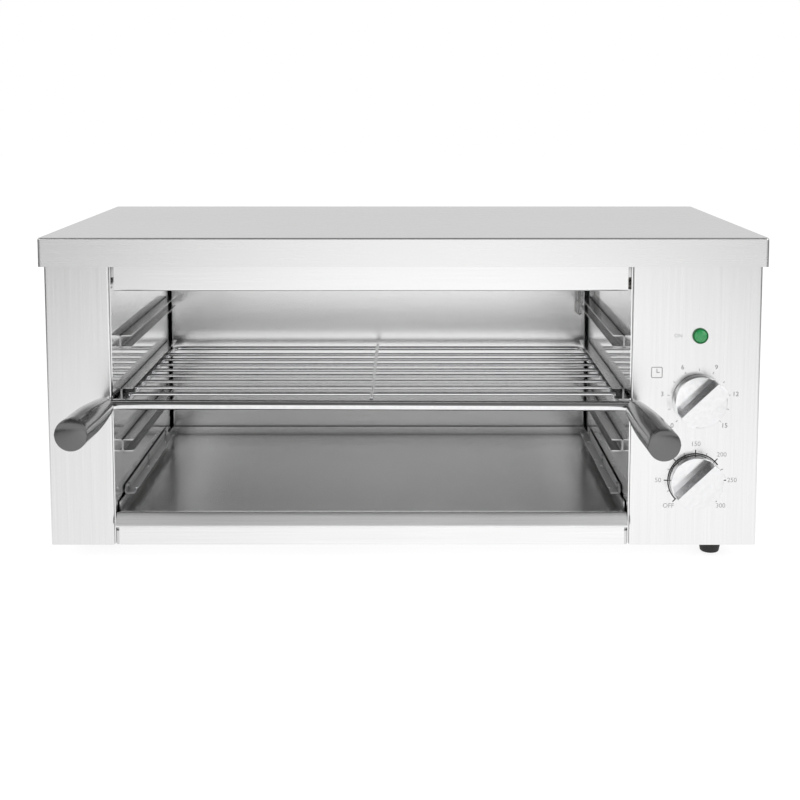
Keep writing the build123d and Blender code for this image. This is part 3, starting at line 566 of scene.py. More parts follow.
class Workpiece:
    """A mesh shaped in edit mode: a primitive, then operators on what is selected by its place."""

    def __init__(self, name: str) -> None:
        """Takes the object just added, puts its origin at the frame's and opens it for editing.

        Args:
            name: The name that it gets.
        """
        self.object = bpy.context.object
        self.object.name = name
        self.object.data.name = name
        bpy.ops.object.transform_apply(location=True, rotation=True, scale=True)
        bpy.ops.object.mode_set(mode="EDIT")
        bpy.ops.mesh.select_all(action="SELECT")

    @classmethod
    def disc(cls, name: str, centre: Vector, axis: Vector, radius: float, sides: int) -> Workpiece:
        """Adds a flat disc.

        Args:
            name: The piece's name.
            centre: Its centre.
            axis: The way that it faces.
            radius: Its radius.
            sides: How many sides it has.

        Returns:
            The piece, in edit mode.
        """
        deselect()
        turn = axis.to_track_quat("Z", "Y").to_euler()
        bpy.ops.mesh.primitive_circle_add(
            vertices=sides, radius=radius, fill_type="NGON", location=centre, rotation=turn
        )
        return cls(name)

    @classmethod
    def sheet(cls, name: str, centre: Vector, width: float, height: float) -> Workpiece:
        """Adds a flat upright rectangle that faces the user.

        Args:
            name: The piece's name.
            centre: Its centre.
            width: Its width.
            height: Its height.

        Returns:
            The piece, in edit mode.
        """
        deselect()
        bpy.ops.mesh.primitive_plane_add(size=1.0, location=centre, rotation=ON_PANEL)
        piece = cls(name)
        bpy.ops.transform.resize(value=(width, 1.0, height), center_override=tuple(centre))
        return piece

    @classmethod
    def turned(
        cls, name: str, start: Vector, axis: Vector, rings: Sequence[Ring], sides: int = 72
    ) -> Workpiece:
        """Turns a round piece: a disc, extruded and resized ring by ring along its axis.

        Args:
            name: The piece's name.
            start: The point on the axis from which the rings are measured.
            axis: The axis's direction, of length 1.
            rings: Each ring's place along the axis, and its radius.
            sides: How many sides the rings have.

        Returns:
            The piece, still in edit mode, with its last face selected.
        """
        along, radius = rings[0]
        piece = cls.disc(name, start + axis * along, axis, radius, sides)
        for next_along, next_radius in rings[1:]:
            centre = tuple(start + axis * next_along)
            piece.extrude(axis * (next_along - along))
            bpy.ops.transform.resize(value=(next_radius / radius,) * 3, center_override=centre)
            along, radius = next_along, next_radius
        return piece

    def extrude(self, move: Vector) -> None:
        """Extrudes what is selected by that move."""
        bpy.ops.mesh.extrude_region_move(TRANSFORM_OT_translate={"value": tuple(move)})

    def select(self, wanted: Callable[[MeshPart], bool], kind: str = "FACE") -> None:
        """Selects just the faces or edges that pass a test.

        Args:
            wanted: The test that each of them is put to.
            kind: FACE or EDGE.
        """
        bpy.ops.mesh.select_mode(type=kind)
        bpy.ops.mesh.select_all(action="DESELECT")
        mesh = bmesh.from_edit_mesh(self.object.data)
        parts = mesh.faces if kind == "FACE" else mesh.edges
        for part in [part for part in parts if wanted(part)]:
            part.select_set(True)
        bmesh.update_edit_mesh(self.object.data)

    def finish(self, smooth_angle: float = 35.0) -> bpy.types.Object:
        """Turns the faces outward and smooths what is round.

        Args:
            smooth_angle: Edges sharper than this many degrees stay sharp.

        Returns:
            The finished object.
        """
        bpy.ops.mesh.select_all(action="SELECT")
        bpy.ops.mesh.normals_make_consistent(inside=False)
        bpy.ops.object.mode_set(mode="OBJECT")
        deselect()
        self.object.select_set(True)
        bpy.context.view_layer.objects.active = self.object
        bpy.ops.object.shade_smooth_by_angle(angle=math.radians(smooth_angle))
        return self.object


def copied(piece: bpy.types.Object, name: str, move: Vector) -> bpy.types.Object:
    """A copy of a finished piece, with its own mesh, moved.

    Args:
        piece: The finished piece.
        name: The copy's name.
        move: How far the copy stands from the piece.

    Returns:
        The copy.
    """
    copy = piece.copy()
    copy.data = piece.data.copy()
    copy.name = name
    copy.data.name = name
    copy.data.transform(Matrix.Translation(move))
    bpy.context.collection.objects.link(copy)
    return copy


def fit(piece: bpy.types.Object, material: bpy.types.Material, body: str, slot: str, *nodes: str) -> None:
    """Gives a piece its finish and hands it to the frame.

    Args:
        piece: The finished piece.
        material: Its material.
        body: The body that carries it.
        slot: The record's material slot named for it; not used.
        nodes: The CAD nodes that it stands for.
    """
    piece.data.materials.clear()
    piece.data.materials.append(material)
    if nodes:
        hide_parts(*nodes)
    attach(piece, body)
    LOG.info("piece %s on %s, %d faces", piece.name, body, len(piece.data.polygons))


def islands(node: str) -> list[Corner]:
    """The boxes of a CAD node's separate solids.

    Args:
        node: The node's name.

    Returns:
        Each solid's lowest and highest corner, from left to right and then from the bottom up.
    """
    mesh = bmesh.new()
    mesh.from_mesh(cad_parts[node].data)
    bmesh.ops.remove_doubles(mesh, verts=mesh.verts, dist=WELD)
    waiting = set(mesh.verts)
    boxes: list[Corner] = []
    while waiting:
        reached = [waiting.pop()]
        for vertex in reached:
            neighbours = {edge.other_vert(vertex) for edge in vertex.link_edges} & waiting
            waiting -= neighbours
            reached.extend(neighbours)
        boxes.append(corners([vertex.co for vertex in reached]))
    mesh.free()
    return sorted(boxes, key=lambda box: (round(box[0].x, 4), round(box[0].z, 4)))


def joined(name: str, pieces: Sequence[bpy.types.Object]) -> bpy.types.Object:
    """Joins finished pieces into one.

    Args:
        name: The joined piece's name.
        pieces: The pieces; their objects are used up.

    Returns:
        The joined piece.
    """
    deselect()
    for piece in pieces:
        piece.select_set(True)
    bpy.context.view_layer.objects.active = pieces[0]
    bpy.ops.object.join()
    pieces[0].name = name
    pieces[0].data.name = name
    return pieces[0]


@dataclass
class Assembly:
    """A group of pieces that are made together.

    Attributes:
        finishes: The grill's finishes, from which its pieces take theirs.
    """

    finishes: Finishes


# ---- rack grips -------------------------------------------------------------------------------------


@dataclass
class RackGrips(Assembly):
    """The two moulded grips that the rack is pulled by.

    Attributes:
        back_radius: The grip's radius where the bar goes in.
        back_bend: The rounded edge there.
        tip_radius: Its radius near the tip.
        rim: The rounded rim round the end face.
        crown: How far the end face bulges.
        crown_shares: The radii of the rings on the end face, as shares of its own.
        fullness: How early the barrel swells; 1 swells evenly.
        seam_width: The width of the moulding seam along each side.
        seam_height: How far the seam stands out.
        seam_inset: How far its raised part stands in from the facets' edges, as a share of its width.
        stations: How many rings the barrel has.
        sides: How many sides each ring has.
        end_reaches: How near its ends the CAD grip's points are looked for, in ever finer passes.
    """

    back_radius: float = 8.4 * MM
    back_bend: float = 2.2 * MM
    tip_radius: float = 12.5 * MM
    rim: float = 0.9 * MM
    crown: float = 1.1 * MM
    crown_shares: tuple[float, ...] = (0.7, 0.4, 0.08)
    fullness: float = 1.5
    seam_width: float = 0.5 * MM
    seam_height: float = 0.12 * MM
    seam_inset: float = 0.2
    stations: int = 14
    sides: int = 96
    end_reaches: tuple[float, ...] = (8.0 * MM, 4.0 * MM, 2.0 * MM, 1.0 * MM, 0.3 * MM)

    def build(self) -> None:
        """Makes both grips."""
        material = self.finishes.get(Finishes.grip)
        for side in ("left", "right"):
            node = f"rack_grip_{side}"
            fit(self.make_grip(node, f"rack_grip_barrel_{side}"), material, RACK, "grip_plastic", node)

    def ends(self, node: str) -> tuple[Vector, Vector]:
        """Where the CAD grip's axis starts and ends.

        Args:
            node: The CAD grip's name.

        Returns:
            The centres of its two end faces.
        """
        places = {vertex.co.copy().freeze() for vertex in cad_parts[node].data.vertices}
        back = max(places, key=lambda place: place.y)
        tip = min(places, key=lambda place: place.y)
        for reach in self.end_reaches:
            axis = (tip - back).normalized()
            first = min(place.dot(axis) for place in places)
            last = max(place.dot(axis) for place in places)
            near = [place for place in places if place.dot(axis) < first + reach]
            far = [place for place in places if place.dot(axis) > last - reach]
            back, tip = (sum(corners(end), Vector()) / 2 for end in (near, far))
        return back, tip

    def rings(self, length: float) -> list[Ring]:
        """The barrel's rings, from its back to the middle of its end face.

        Args:
            length: The grip's length.

        Returns:
            The rings.
        """
        swell = self.tip_radius - self.back_radius
        straight = length - self.rim - self.crown
        bend = self.back_bend
        rings = rounded(bend, self.back_radius - bend, bend, -90.0, 0.0)
        for station in range(1, self.stations + 1):
            share = station / self.stations
            radius = self.back_radius + swell * math.sin(math.pi / 2 * min(1.0, share * self.fullness))
            rings.append((bend + (straight - bend) * share, radius))
        rings += rounded(straight, self.tip_radius - self.rim, self.rim, 0.0, 80.0)[1:]
        face = rings[-1][1]
        for share in self.crown_shares:
            rings.append((length - self.crown * share * share, face * share))
        return rings

    def make_grip(self, node: str, name: str) -> bpy.types.Object:
        """Turns one grip and raises the seam along both its sides.

        Args:
            node: The CAD grip's name.
            name: The new grip's name.

        Returns:
            The finished grip.
        """
        back, tip = self.ends(node)
        axis = (tip - back).normalized()
        grip = Workpiece.turned(name, back, axis, self.rings((tip - back).length), self.sides)
        level = axis.cross(UP.cross(axis).normalized())
        seam = math.sin(math.pi / self.sides) * 1.01

        def on_seam(face: bmesh.types.BMFace) -> bool:
            """Whether a face lies in the grip's middle plane, on its barrel.

            Args:
                face: The face.

            Returns:
                Whether it does.
            """
            out = face.calc_center_median() - back
            out -= axis * out.dot(axis)
            flat = abs(out.normalized().dot(level)) < seam
            return flat and len(face.verts) == 4 and abs(face.normal.dot(axis)) < 0.5

        grip.select(on_seam)
        bpy.ops.mesh.inset(thickness=self.seam_width * self.seam_inset, depth=0.0)
        bpy.ops.transform.shrink_fatten(value=self.seam_height)
        return grip.finish(50.0)


# ---- controls ---------------------------------------------------------------------------------------


@dataclass
class ControlKnobs(Assembly):
    """The two plated knobs: a turned skirt with a straight bar across it.

    Attributes:
        skirt_height: The skirt's height from its back.
        skirt_edge: The rounded edge of the skirt.
        back_edge: The bevelled edge at its back.
        bar_width: The bar's width.
        bar_inset: How far the bar's ends stand inside the skirt's edge.
        bar_edge: The rounded edges of the bar.
        bevel_steps: How many facets round those edges.
        bevel_above: The angle in degrees above which an edge of the bar is rounded.
        smooth_below: The angle in degrees below which the shading is smooth.
        turn: The bar's slope at rest, in degrees above the horizontal.
        sides: How many sides the skirt has.
    """

    skirt_height: float = 8.5 * MM
    skirt_edge: float = 0.9 * MM
    back_edge: float = 0.4 * MM
    bar_width: float = 14.0 * MM
    bar_inset: float = 0.35 * MM
    bar_edge: float = 0.5 * MM
    bevel_steps: int = 4
    bevel_above: float = 40.0
    smooth_below: float = 30.0
    turn: float = 44.0
    sides: int = 128

    def build(self) -> None:
        """Makes both knobs."""
        material = self.finishes.get(Finishes.knob)
        for control in ("timer", "thermostat"):
            node = f"{control}_knob"
            fit(self.make_knob(node), material, f"{control}_control", "knob_metal", node)

    def make_knob(self, node: str) -> bpy.types.Object:
        """Turns the skirt and stands the bar on it.

        Args:
            node: The CAD knob's name.

        Returns:
            The finished knob.
        """
        low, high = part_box(node)
        centre = face_middle((low, high), BACKWARD)
        radius = (high.x - low.x) / 2
        edge = self.skirt_edge
        rings = [(0.0, radius - self.back_edge), (self.back_edge, radius)]
        rings += rounded(self.skirt_height - edge, radius - edge, edge, 0.0, 90.0)
        skirt = Workpiece.turned(f"{node}_turned", centre, FORWARD, rings, self.sides)
        pieces = [skirt.finish(self.smooth_below)]
        base = centre + FORWARD * (self.skirt_height - self.bar_edge)
        pieces.append(self.make_bar(f"{node}_bar", base, radius - self.bar_inset, base.y - low.y))
        return joined(f"{node}_turned", pieces)

    def make_bar(self, name: str, base: Vector, radius: float, height: float) -> bpy.types.Object:
        """Cuts the bar's plan out of a disc, draws it out and rounds its edges.

        Args:
            name: The bar's name.
            base: The middle of its base, just inside the skirt.
            radius: The radius of its two ends.
            height: Its height from its base.

        Returns:
            The finished bar.
        """
        slope = math.radians(self.turn)
        across = Vector((-math.sin(slope), 0.0, math.cos(slope)))
        bar = Workpiece.disc(name, base, FORWARD, radius, self.sides)
        for way in (-across, across):
            place = base + way * (self.bar_width / 2)
            bpy.ops.mesh.select_all(action="SELECT")
            bpy.ops.mesh.bisect(plane_co=tuple(place), plane_no=tuple(way), clear_outer=True)
        bpy.ops.mesh.select_all(action="SELECT")
        bpy.ops.mesh.remove_doubles(threshold=0.1 * MM)
        bar.extrude(FORWARD * height)
        piece = bar.finish(self.smooth_below)
        bevel = piece.modifiers.new("edges", "BEVEL")
        bevel.width = self.bar_edge
        bevel.segments = self.bevel_steps
        bevel.angle_limit = math.radians(self.bevel_above)
        bpy.ops.object.modifier_apply(modifier=bevel.name)
        bpy.ops.object.shade_smooth_by_angle(angle=math.radians(self.smooth_below))
        return piece


@dataclass
class PilotLamp(Assembly):
    """The green pilot lamp: a bezel and a domed lens with fine rings.

    Attributes:
        bezel_width: The width of the bezel's rim.
        bezel_height: The bezel's height off the panel.
        bezel_foot: How far off the panel its inner side starts.
        lens_foot: How far off the panel the lens's side starts.
        lens_sunk: How far below the bezel's rim its dome starts.
        dome_steps: How many rings the dome is divided by.
        ring_pitch: The distance between the lens's rings.
        ring_depth: The depth of each ring.
    """

    bezel_width: float = 1.0 * MM
    bezel_height: float = 2.0 * MM
    bezel_foot: float = 0.3 * MM
    lens_foot: float = 0.2 * MM
    lens_sunk: float = 0.5 * MM
    dome_steps: int = 24
    ring_pitch: float = 0.8 * MM
    ring_depth: float = 0.12 * MM

    def build(self) -> None:
        """Makes the bezel and the lens."""
        node = "pilot_lamp_lens"
        low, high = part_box(node)
        centre = face_middle((low, high), BACKWARD)
        radius = (high.x - low.x) / 2
        bezel = Workpiece.turned("pilot_lamp_bezel", centre, FORWARD, self.bezel_rings(radius)).finish()
        fit(bezel, self.finishes.get(Finishes.lens_ring), HOUSING, "lamp_lens", node)
        rings = self.lens_rings(radius - self.bezel_width, high.y - low.y)
        lens = Workpiece.turned("pilot_lamp_dome", centre, FORWARD, rings).finish(60.0)
        fit(lens, self.finishes.get(Finishes.lens), HOUSING, "lamp_lens", node)

    def bezel_rings(self, radius: float) -> list[Ring]:
        """The bezel's rings: up its side, round its rim and down to the lens.

        Args:
            radius: The bezel's radius.

        Returns:
            The rings.
        """
        bend = self.bezel_width / 2
        rim = rounded(self.bezel_height - bend, radius - bend, bend, 0.0, 180.0, 8)
        return [(0.0, radius), *rim, (self.bezel_foot, radius - 2 * bend)]

    def lens_rings(self, radius: float, height: float) -> list[Ring]:
        """The lens's rings: its side and its rippled dome.

        Args:
            radius: The lens's radius.
            height: Its height off the panel.

        Returns:
            The rings.
        """
        edge = self.bezel_height - self.lens_sunk
        rings = [(self.lens_foot, radius), (edge, radius)]
        for step in range(1, self.dome_steps):
            out = radius * (1.0 - step / self.dome_steps)
            dome = (height - edge) * math.sqrt(1.0 - (out / radius) ** 2)
            ripple = self.ring_depth * (math.cos(math.tau * out / self.ring_pitch) - 1.0) / 2
            rings.append((edge + max(0.0, dome + ripple), out))
        return rings


@dataclass(frozen=True)
class Ticks:
    """A dial's ring of ticks.

    Attributes:
        name: The print's name.
        radius: The radius at the ticks' middles.
        length: Each tick's length.
        width: Each tick's width.
        gaps: How many even gaps the sweep is divided into.
    """

    name: str
    radius: float
    length: float
    width: float
    gaps: int


@dataclass
class DialPrints(Assembly):
    """The printed scales round the knobs, the timer's clock sign and the lamp's legend.

    Attributes:
        thickness: How far the print stands off the panel.
        sunk: How far it reaches into the panel's surface.
        first_angle: The angle of each dial's first figure, in degrees anticlockwise from the right.
        sweep: The angle from the first figure to the last.
        timer_ticks: The timer's ticks.
        timer_marks: The timer's numbers.
        timer_radius: The radius at the middles of the timer's numbers.
        heat_ticks: The thermostat's minor and major ticks.
        heat_marks: The thermostat's figures.
        heat_radius: The radius at the middles of the thermostat's figures.
        arc_radius: The radius of the arc round the thermostat's knob.
        arc_width: The arc's width.
        arc_start: The length of the line that is spun to make it.
        arc_sweep: The angle that it covers.
        arc_steps: How many facets it has.
        figure_height: The height of a dial's figures.
        capital: The height of capitals, as a share of the font's size.
        sign_place: The clock sign's middle, from the timer's.
        sign_size: The side of its rounded square.
        sign_line: The width of its lines.
        sign_corner: The square's rounded corners, as a share of its side.
        sign_hands: The minute and hour hand's length, as shares of its side.
        legend: The lamp's legend.
        legend_place: The legend's middle, from the lamp's.
        legend_share: Its height, as a share of the figures' height.
    """

    thickness: float = 0.06 * MM
    sunk: float = 0.02 * MM
    first_angle: float = 225.0
    sweep: float = 270.0
    timer_ticks: Ticks = Ticks("timer_ticks", 26.0 * MM, 2.0 * MM, 0.42 * MM, 10)
    timer_marks: tuple[str, ...] = ("0", "3", "6", "9", "12", "15")
    timer_radius: float = 31.4 * MM
    heat_ticks: tuple[Ticks, ...] = (
        Ticks("thermostat_ticks", 24.3 * MM, 2.4 * MM, 0.5 * MM, 12),
        Ticks("thermostat_major_ticks", 24.4 * MM, 4.2 * MM, 0.9 * MM, 6),
    )
    heat_marks: tuple[str, ...] = ("OFF", "50", "100", "150", "200", "250", "300")
    heat_radius: float = 31.5 * MM
    arc_radius: float = 23.1 * MM
    arc_width: float = 1.1 * MM
    arc_start: float = 0.02 * MM
    arc_sweep: float = 190.0
    arc_steps: int = 90
    figure_height: float = 3.9 * MM
    capital: float = 0.7
    sign_place: Span = (-35.9 * MM, 23.6 * MM)
    sign_size: float = 9.5 * MM
    sign_line: float = 0.55 * MM
    sign_corner: float = 0.14
    sign_hands: Span = (0.36, 0.28)
    legend: str = "ON"
    legend_place: Span = (-18.4 * MM, 0.0)
    legend_share: float = 0.8

    def build(self) -> None:
        """Prints both dials, the clock sign and the legend."""
        inks = (Finishes.print_black, Finishes.print_grey, Finishes.print_pale)
        black, grey, pale = (self.finishes.get(ink) for ink in inks)
        timer, heat = self.centre("timer_knob"), self.centre("thermostat_knob")
        self.hand_over(self.ticks(self.timer_ticks, timer), grey)
        self.hand_over(self.figures("timer_figures", timer, self.timer_radius, self.timer_marks), grey)
        self.hand_over(self.clock_sign(timer), grey)
        self.hand_over(self.arc(heat), black)
        for ticks in self.heat_ticks:
            self.hand_over(self.ticks(ticks, heat), black)
        self.hand_over(self.figures("thermostat_figures", heat, self.heat_radius, self.heat_marks), pale)
        x, z = self.legend_place
        place = self.centre("pilot_lamp_lens") + Vector((x, 0.0, z))
        legend = self.figure("lamp_legend", self.legend, place, self.figure_height * self.legend_share)
        self.hand_over(legend, pale)

    def hand_over(self, piece: bpy.types.Object, material: bpy.types.Material) -> None:
        """Gives a print its ink and fixes it to the housing."""
        fit(piece, material, HOUSING, "casing_steel")

    def centre(self, node: str) -> Vector:
        """The middle of a CAD control, just under the panel's face."""
        x, _, z = face_middle(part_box(node), BACKWARD)
        return Vector((x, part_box("right_control_casing")[0].y + self.sunk, z))

    def swing(self, angle: float, centre: Vector) -> None:
        """Turns what is selected about a dial's centre, anticlockwise as the user sees it."""
        bpy.ops.transform.rotate(value=math.radians(angle), orient_axis="Y", center_override=tuple(centre))

    def first_mark(self, name: str, centre: Vector, radius: float, size: Span) -> Workpiece:
        """Draws a dial's first mark, at its top, and swings it to the first angle.

        Args:
            name: The print's name.
            centre: The dial's centre.
            radius: The radius at the mark's middle.
            size: Its width and its length.

        Returns:
            The flat mark, in edit mode.
        """
        mark = Workpiece.sheet(name, centre + UP * radius, *size)
        self.swing(self.first_angle - 90.0, centre)
        return mark

    def raised(self, mark: Workpiece) -> bpy.types.Object:
        """Gives a flat print its thickness.

        Args:
            mark: The flat print, in edit mode.

        Returns:
            The finished print.
        """
        bpy.ops.mesh.select_all(action="SELECT")
        mark.extrude(FORWARD * (self.thickness + self.sunk))
        return mark.finish()

    def ticks(self, ring: Ticks, centre: Vector) -> bpy.types.Object:
        """Prints a ring of ticks: the first, then copies of it round the sweep.

        Args:
            ring: The ticks.
            centre: The dial's centre.

        Returns:
            The finished print.
        """
        tick = self.first_mark(ring.name, centre, ring.radius, (ring.width, ring.length))
        for _ in range(ring.gaps):
            bpy.ops.mesh.duplicate()
            self.swing(-self.sweep / ring.gaps, centre)
        return self.raised(tick)

    def arc(self, centre: Vector) -> bpy.types.Object:
        """Prints the arc round the thermostat's knob: one short line, spun round the sweep.

        Args:
            centre: The dial's centre.

        Returns:
            The finished print.
        """
        line = self.first_mark("thermostat_arc", centre, self.arc_radius, (self.arc_start, self.arc_width))
        start = math.radians(self.first_angle)
        along = BACKWARD.cross(Vector((math.cos(start), 0.0, math.sin(start))))
        mesh = bmesh.from_edit_mesh(line.object.data)
        ends = [edge.verts[0].co + edge.verts[1].co for edge in mesh.edges]
        best = max(ends, key=lambda both: both.dot(along))
        line.select(lambda edge: (edge.verts[0].co + edge.verts[1].co - best).length < TOUCH, "EDGE")
        turn = -math.radians(self.arc_sweep)
        bpy.ops.mesh.spin(steps=self.arc_steps, angle=turn, center=tuple(centre), axis=tuple(BACKWARD))
        return self.raised(line)

    def figure(self, name: str, text: str, place: Vector, height: float) -> bpy.types.Object:
        """One printed figure.

        Args:
            name: The print's name.
            text: The figure.
            place: Its middle, on the panel's face.
            height: The height of its capitals.

        Returns:
            The figure as a mesh.
        """
        deselect()
        bpy.ops.object.text_add(location=place, rotation=ON_PANEL)
        figure = bpy.context.object
        figure.data.body = text
        figure.data.size = height / self.capital
        figure.data.align_x = "CENTER"
        figure.data.align_y = "CENTER"
        figure.data.resolution_u = 4
        bpy.ops.object.convert(target="MESH")
        piece = Workpiece(name)
        bpy.ops.mesh.remove_doubles(threshold=TOUCH)
        return self.raised(piece)

    def figures(self, name: str, centre: Vector, radius: float, marks: Sequence[str]) -> bpy.types.Object:
        """A dial's figures, evenly spread round its sweep, as one print.

        Args:
            name: The print's name.
            centre: The dial's centre.
            radius: The radius at the figures' middles.
            marks: The figures, clockwise from the first.

        Returns:
            The finished print.
        """
        pieces = []
        for index, mark in enumerate(marks):
            angle = math.radians(self.first_angle - self.sweep * index / (len(marks) - 1))
            place = centre + Vector((math.cos(angle), 0.0, math.sin(angle))) * radius
            pieces.append(self.figure(f"{name}_{index}", mark, place, self.figure_height))
        return joined(name, pieces)

    def clock_sign(self, timer: Vector) -> bpy.types.Object:
        """The sign of a clock face in a rounded square, up to the left of the timer.

        Args:
            timer: The timer's centre.

        Returns:
            The finished print.
        """
        size, line = self.sign_size, self.sign_line
        place = timer + Vector((self.sign_place[0], 0.0, self.sign_place[1]))
        border = Workpiece.sheet("clock_sign_frame", place, size, size)
        bpy.ops.mesh.bevel(offset=size * self.sign_corner, segments=5, affect="VERTICES")
        bpy.ops.mesh.select_all(action="SELECT")
        bpy.ops.mesh.inset(thickness=line)
        bpy.ops.mesh.delete(type="FACE")
        pieces = [self.raised(border)]
        minute, hour = (size * share for share in self.sign_hands)
        for name, width, height in (("minute", line, minute), ("hour", hour, line)):
            middle = place + Vector((width - line, 0.0, height - line)) / 2
            pieces.append(self.raised(Workpiece.sheet(f"clock_sign_{name}", middle, width, height)))
        return joined("clock_sign", pieces)


# ---- fittings behind and below ----------------------------------------------------------------------


@dataclass
class Feet(Assembly):
    """The four rubber feet: tapered, with a rounded tread and a recess for the screw's head.

    Attributes:
        tread_share: The tread's radius, as a share of the top's.
        tread_bend: The rounded edge of the tread.
        side: Places up the side, as shares of the height, and how far the groove sinks at each.
        recess_radius: The recess's radius.
        recess_depth: The recess's depth.
        recess_bend: The rounded edge of the recess.
        inner_shares: The radii of the innermost rings below and above, as shares of the recess's.
        sides: How many sides the foot has.
    """

    tread_share: float = 0.79
    tread_bend: float = 1.8 * MM
    side: tuple[Ring, ...] = ((0.45, 0.0), (0.5, 0.35 * MM), (0.55, 0.35 * MM), (0.6, 0.0), (1.0, 0.0))
    recess_radius: float = 4.4 * MM
    recess_depth: float = 3.3 * MM
    recess_bend: float = 0.5 * MM
    inner_shares: Span = (0.05, 0.5)
    sides: int = 56

    def build(self) -> None:
        """Makes the front left foot and three copies."""
        material = self.finishes.get(Finishes.rubber)
        names = ("foot_front_left", "foot_front_right", "foot_rear_left", "foot_rear_right")
        low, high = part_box(names[0])
        start, *others = (face_middle(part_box(name), -UP) for name in names)
        rings = self.rings((high.x - low.x) / 2, high.z - low.z)
        first = Workpiece.turned(f"{names[0]}_moulded", start, UP, rings, self.sides).finish(50.0)
        feet = [first]
        for name, place in zip(names[1:], others):
            feet.append(copied(first, f"{name}_moulded", place - start))
        for name, foot in zip(names, feet):
            fit(foot, material, HOUSING, "foot_rubber", name)

    def rings(self, top: float, height: float) -> list[Ring]:
        """A foot's rings, from the bottom of its recess, round its tread and up its side.

        Args:
            top: The foot's radius at its top.
            height: The foot's height.

        Returns:
            The rings.
        """
        tread, recess, bend = top * self.tread_share, self.recess_radius, self.recess_bend
        below, above = self.inner_shares
        rings = [(self.recess_depth, recess * below), (self.recess_depth, recess)]
        rings += rounded(bend, recess + bend, bend, 180.0, 270.0, 3)
        rings += rounded(self.tread_bend, tread - self.tread_bend, self.tread_bend, -90.0, 0.0, 6)
        rings += [(height * share, tread + (top - tread) * share - sunk) for share, sunk in self.side]
        return [*rings, (height, recess * above)]


@dataclass
class RearScrews(Assembly):
    """The pan-head screws that hold the back panel, each with a cross recess.

    Attributes:
        shank_share: The shank's radius, as a share of the head's.
        tip_share: The radius at its tip, as a share of its own.
        tip_length: The length of its tapered tip.
        rim: The height of the head's straight rim.
        dome_turns: The angles at which the head's dome has rings.
        dome_power: How full the dome is; 1 is round.
        recess_size: The length, the depth on both sides of the head's top and the width of a recess's arm.
        sides: How many sides the screw has.
    """

    shank_share: float = 0.52
    tip_share: float = 0.6
    tip_length: float = 0.8 * MM
    rim: float = 0.7 * MM
    dome_turns: tuple[float, ...] = (0.4, 0.8, 1.2, 1.45)
    dome_power: float = 0.8
    recess_size: Triple = (4.2 * MM, 2.6 * MM, 0.9 * MM)
    sides: int = 40

    def build(self) -> None:
        """Makes one screw, then copies it to every other one's place."""
        material = self.finishes.get(Finishes.fastener)
        boxes = islands("rear_screws")
        start, *others = (face_middle(box, FORWARD) for box in boxes)
        first = self.make_screw("rear_screw_1", *boxes[0])
        screws = [first]
        for index, place in enumerate(others, 2):
            screws.append(copied(first, f"rear_screw_{index}", place - start))
        for screw in screws:
            fit(screw, material, HOUSING, "fastener_steel", "rear_screws")

    def make_screw(self, name: str, low: Vector, high: Vector) -> bpy.types.Object:
        """Turns a screw with a domed head and sinks the cross into it.

        Args:
            name: The screw's name.
            low: The CAD screw's lowest corner.
            high: The CAD screw's highest corner.

        Returns:
            The finished screw.
        """
        start = face_middle((low, high), FORWARD)
        length = high.y - low.y
        head = (high.x - low.x) / 2
        shank = head * self.shank_share
        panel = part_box("rear_panel")[1].y - low.y
        rings = [(0.0, shank * self.tip_share), (self.tip_length, shank), (panel, shank)]
        rings += [(panel, head), (panel + self.rim, head)]
        dome = length - panel - self.rim
        for turn in self.dome_turns:
            rings.append((length - dome * (1 - math.sin(turn)), head * math.cos(turn) ** self.dome_power))
        screw = Workpiece.turned(name, start, BACKWARD, rings, self.sides).finish()
        for turn in (0.0, math.pi / 2):
            self.sink_arm(screw, start + BACKWARD * length, turn)
        return screw

    def sink_arm(self, screw: bpy.types.Object, top: Vector, turn: float) -> None:
        """Cuts one arm of the cross recess.

        Args:
            screw: The screw.
            top: The middle of its head.
            turn: The arm's angle about the screw's axis.
        """
        deselect()
        bpy.ops.mesh.primitive_cube_add(size=1.0, location=top, rotation=(0.0, turn, 0.0))
        cutter = bpy.context.object
        cutter.scale = self.recess_size
        bpy.ops.object.transform_apply(location=True, rotation=True, scale=True)
        modifier = screw.modifiers.new("recess", "BOOLEAN")
        modifier.object = cutter
        modifier.operation = "DIFFERENCE"
        modifier.solver = "EXACT"
        deselect()
        screw.select_set(True)
        bpy.context.view_layer.objects.active = screw
        bpy.ops.object.modifier_apply(modifier=modifier.name)
        bpy.data.objects.remove(cutter, do_unlink=True)


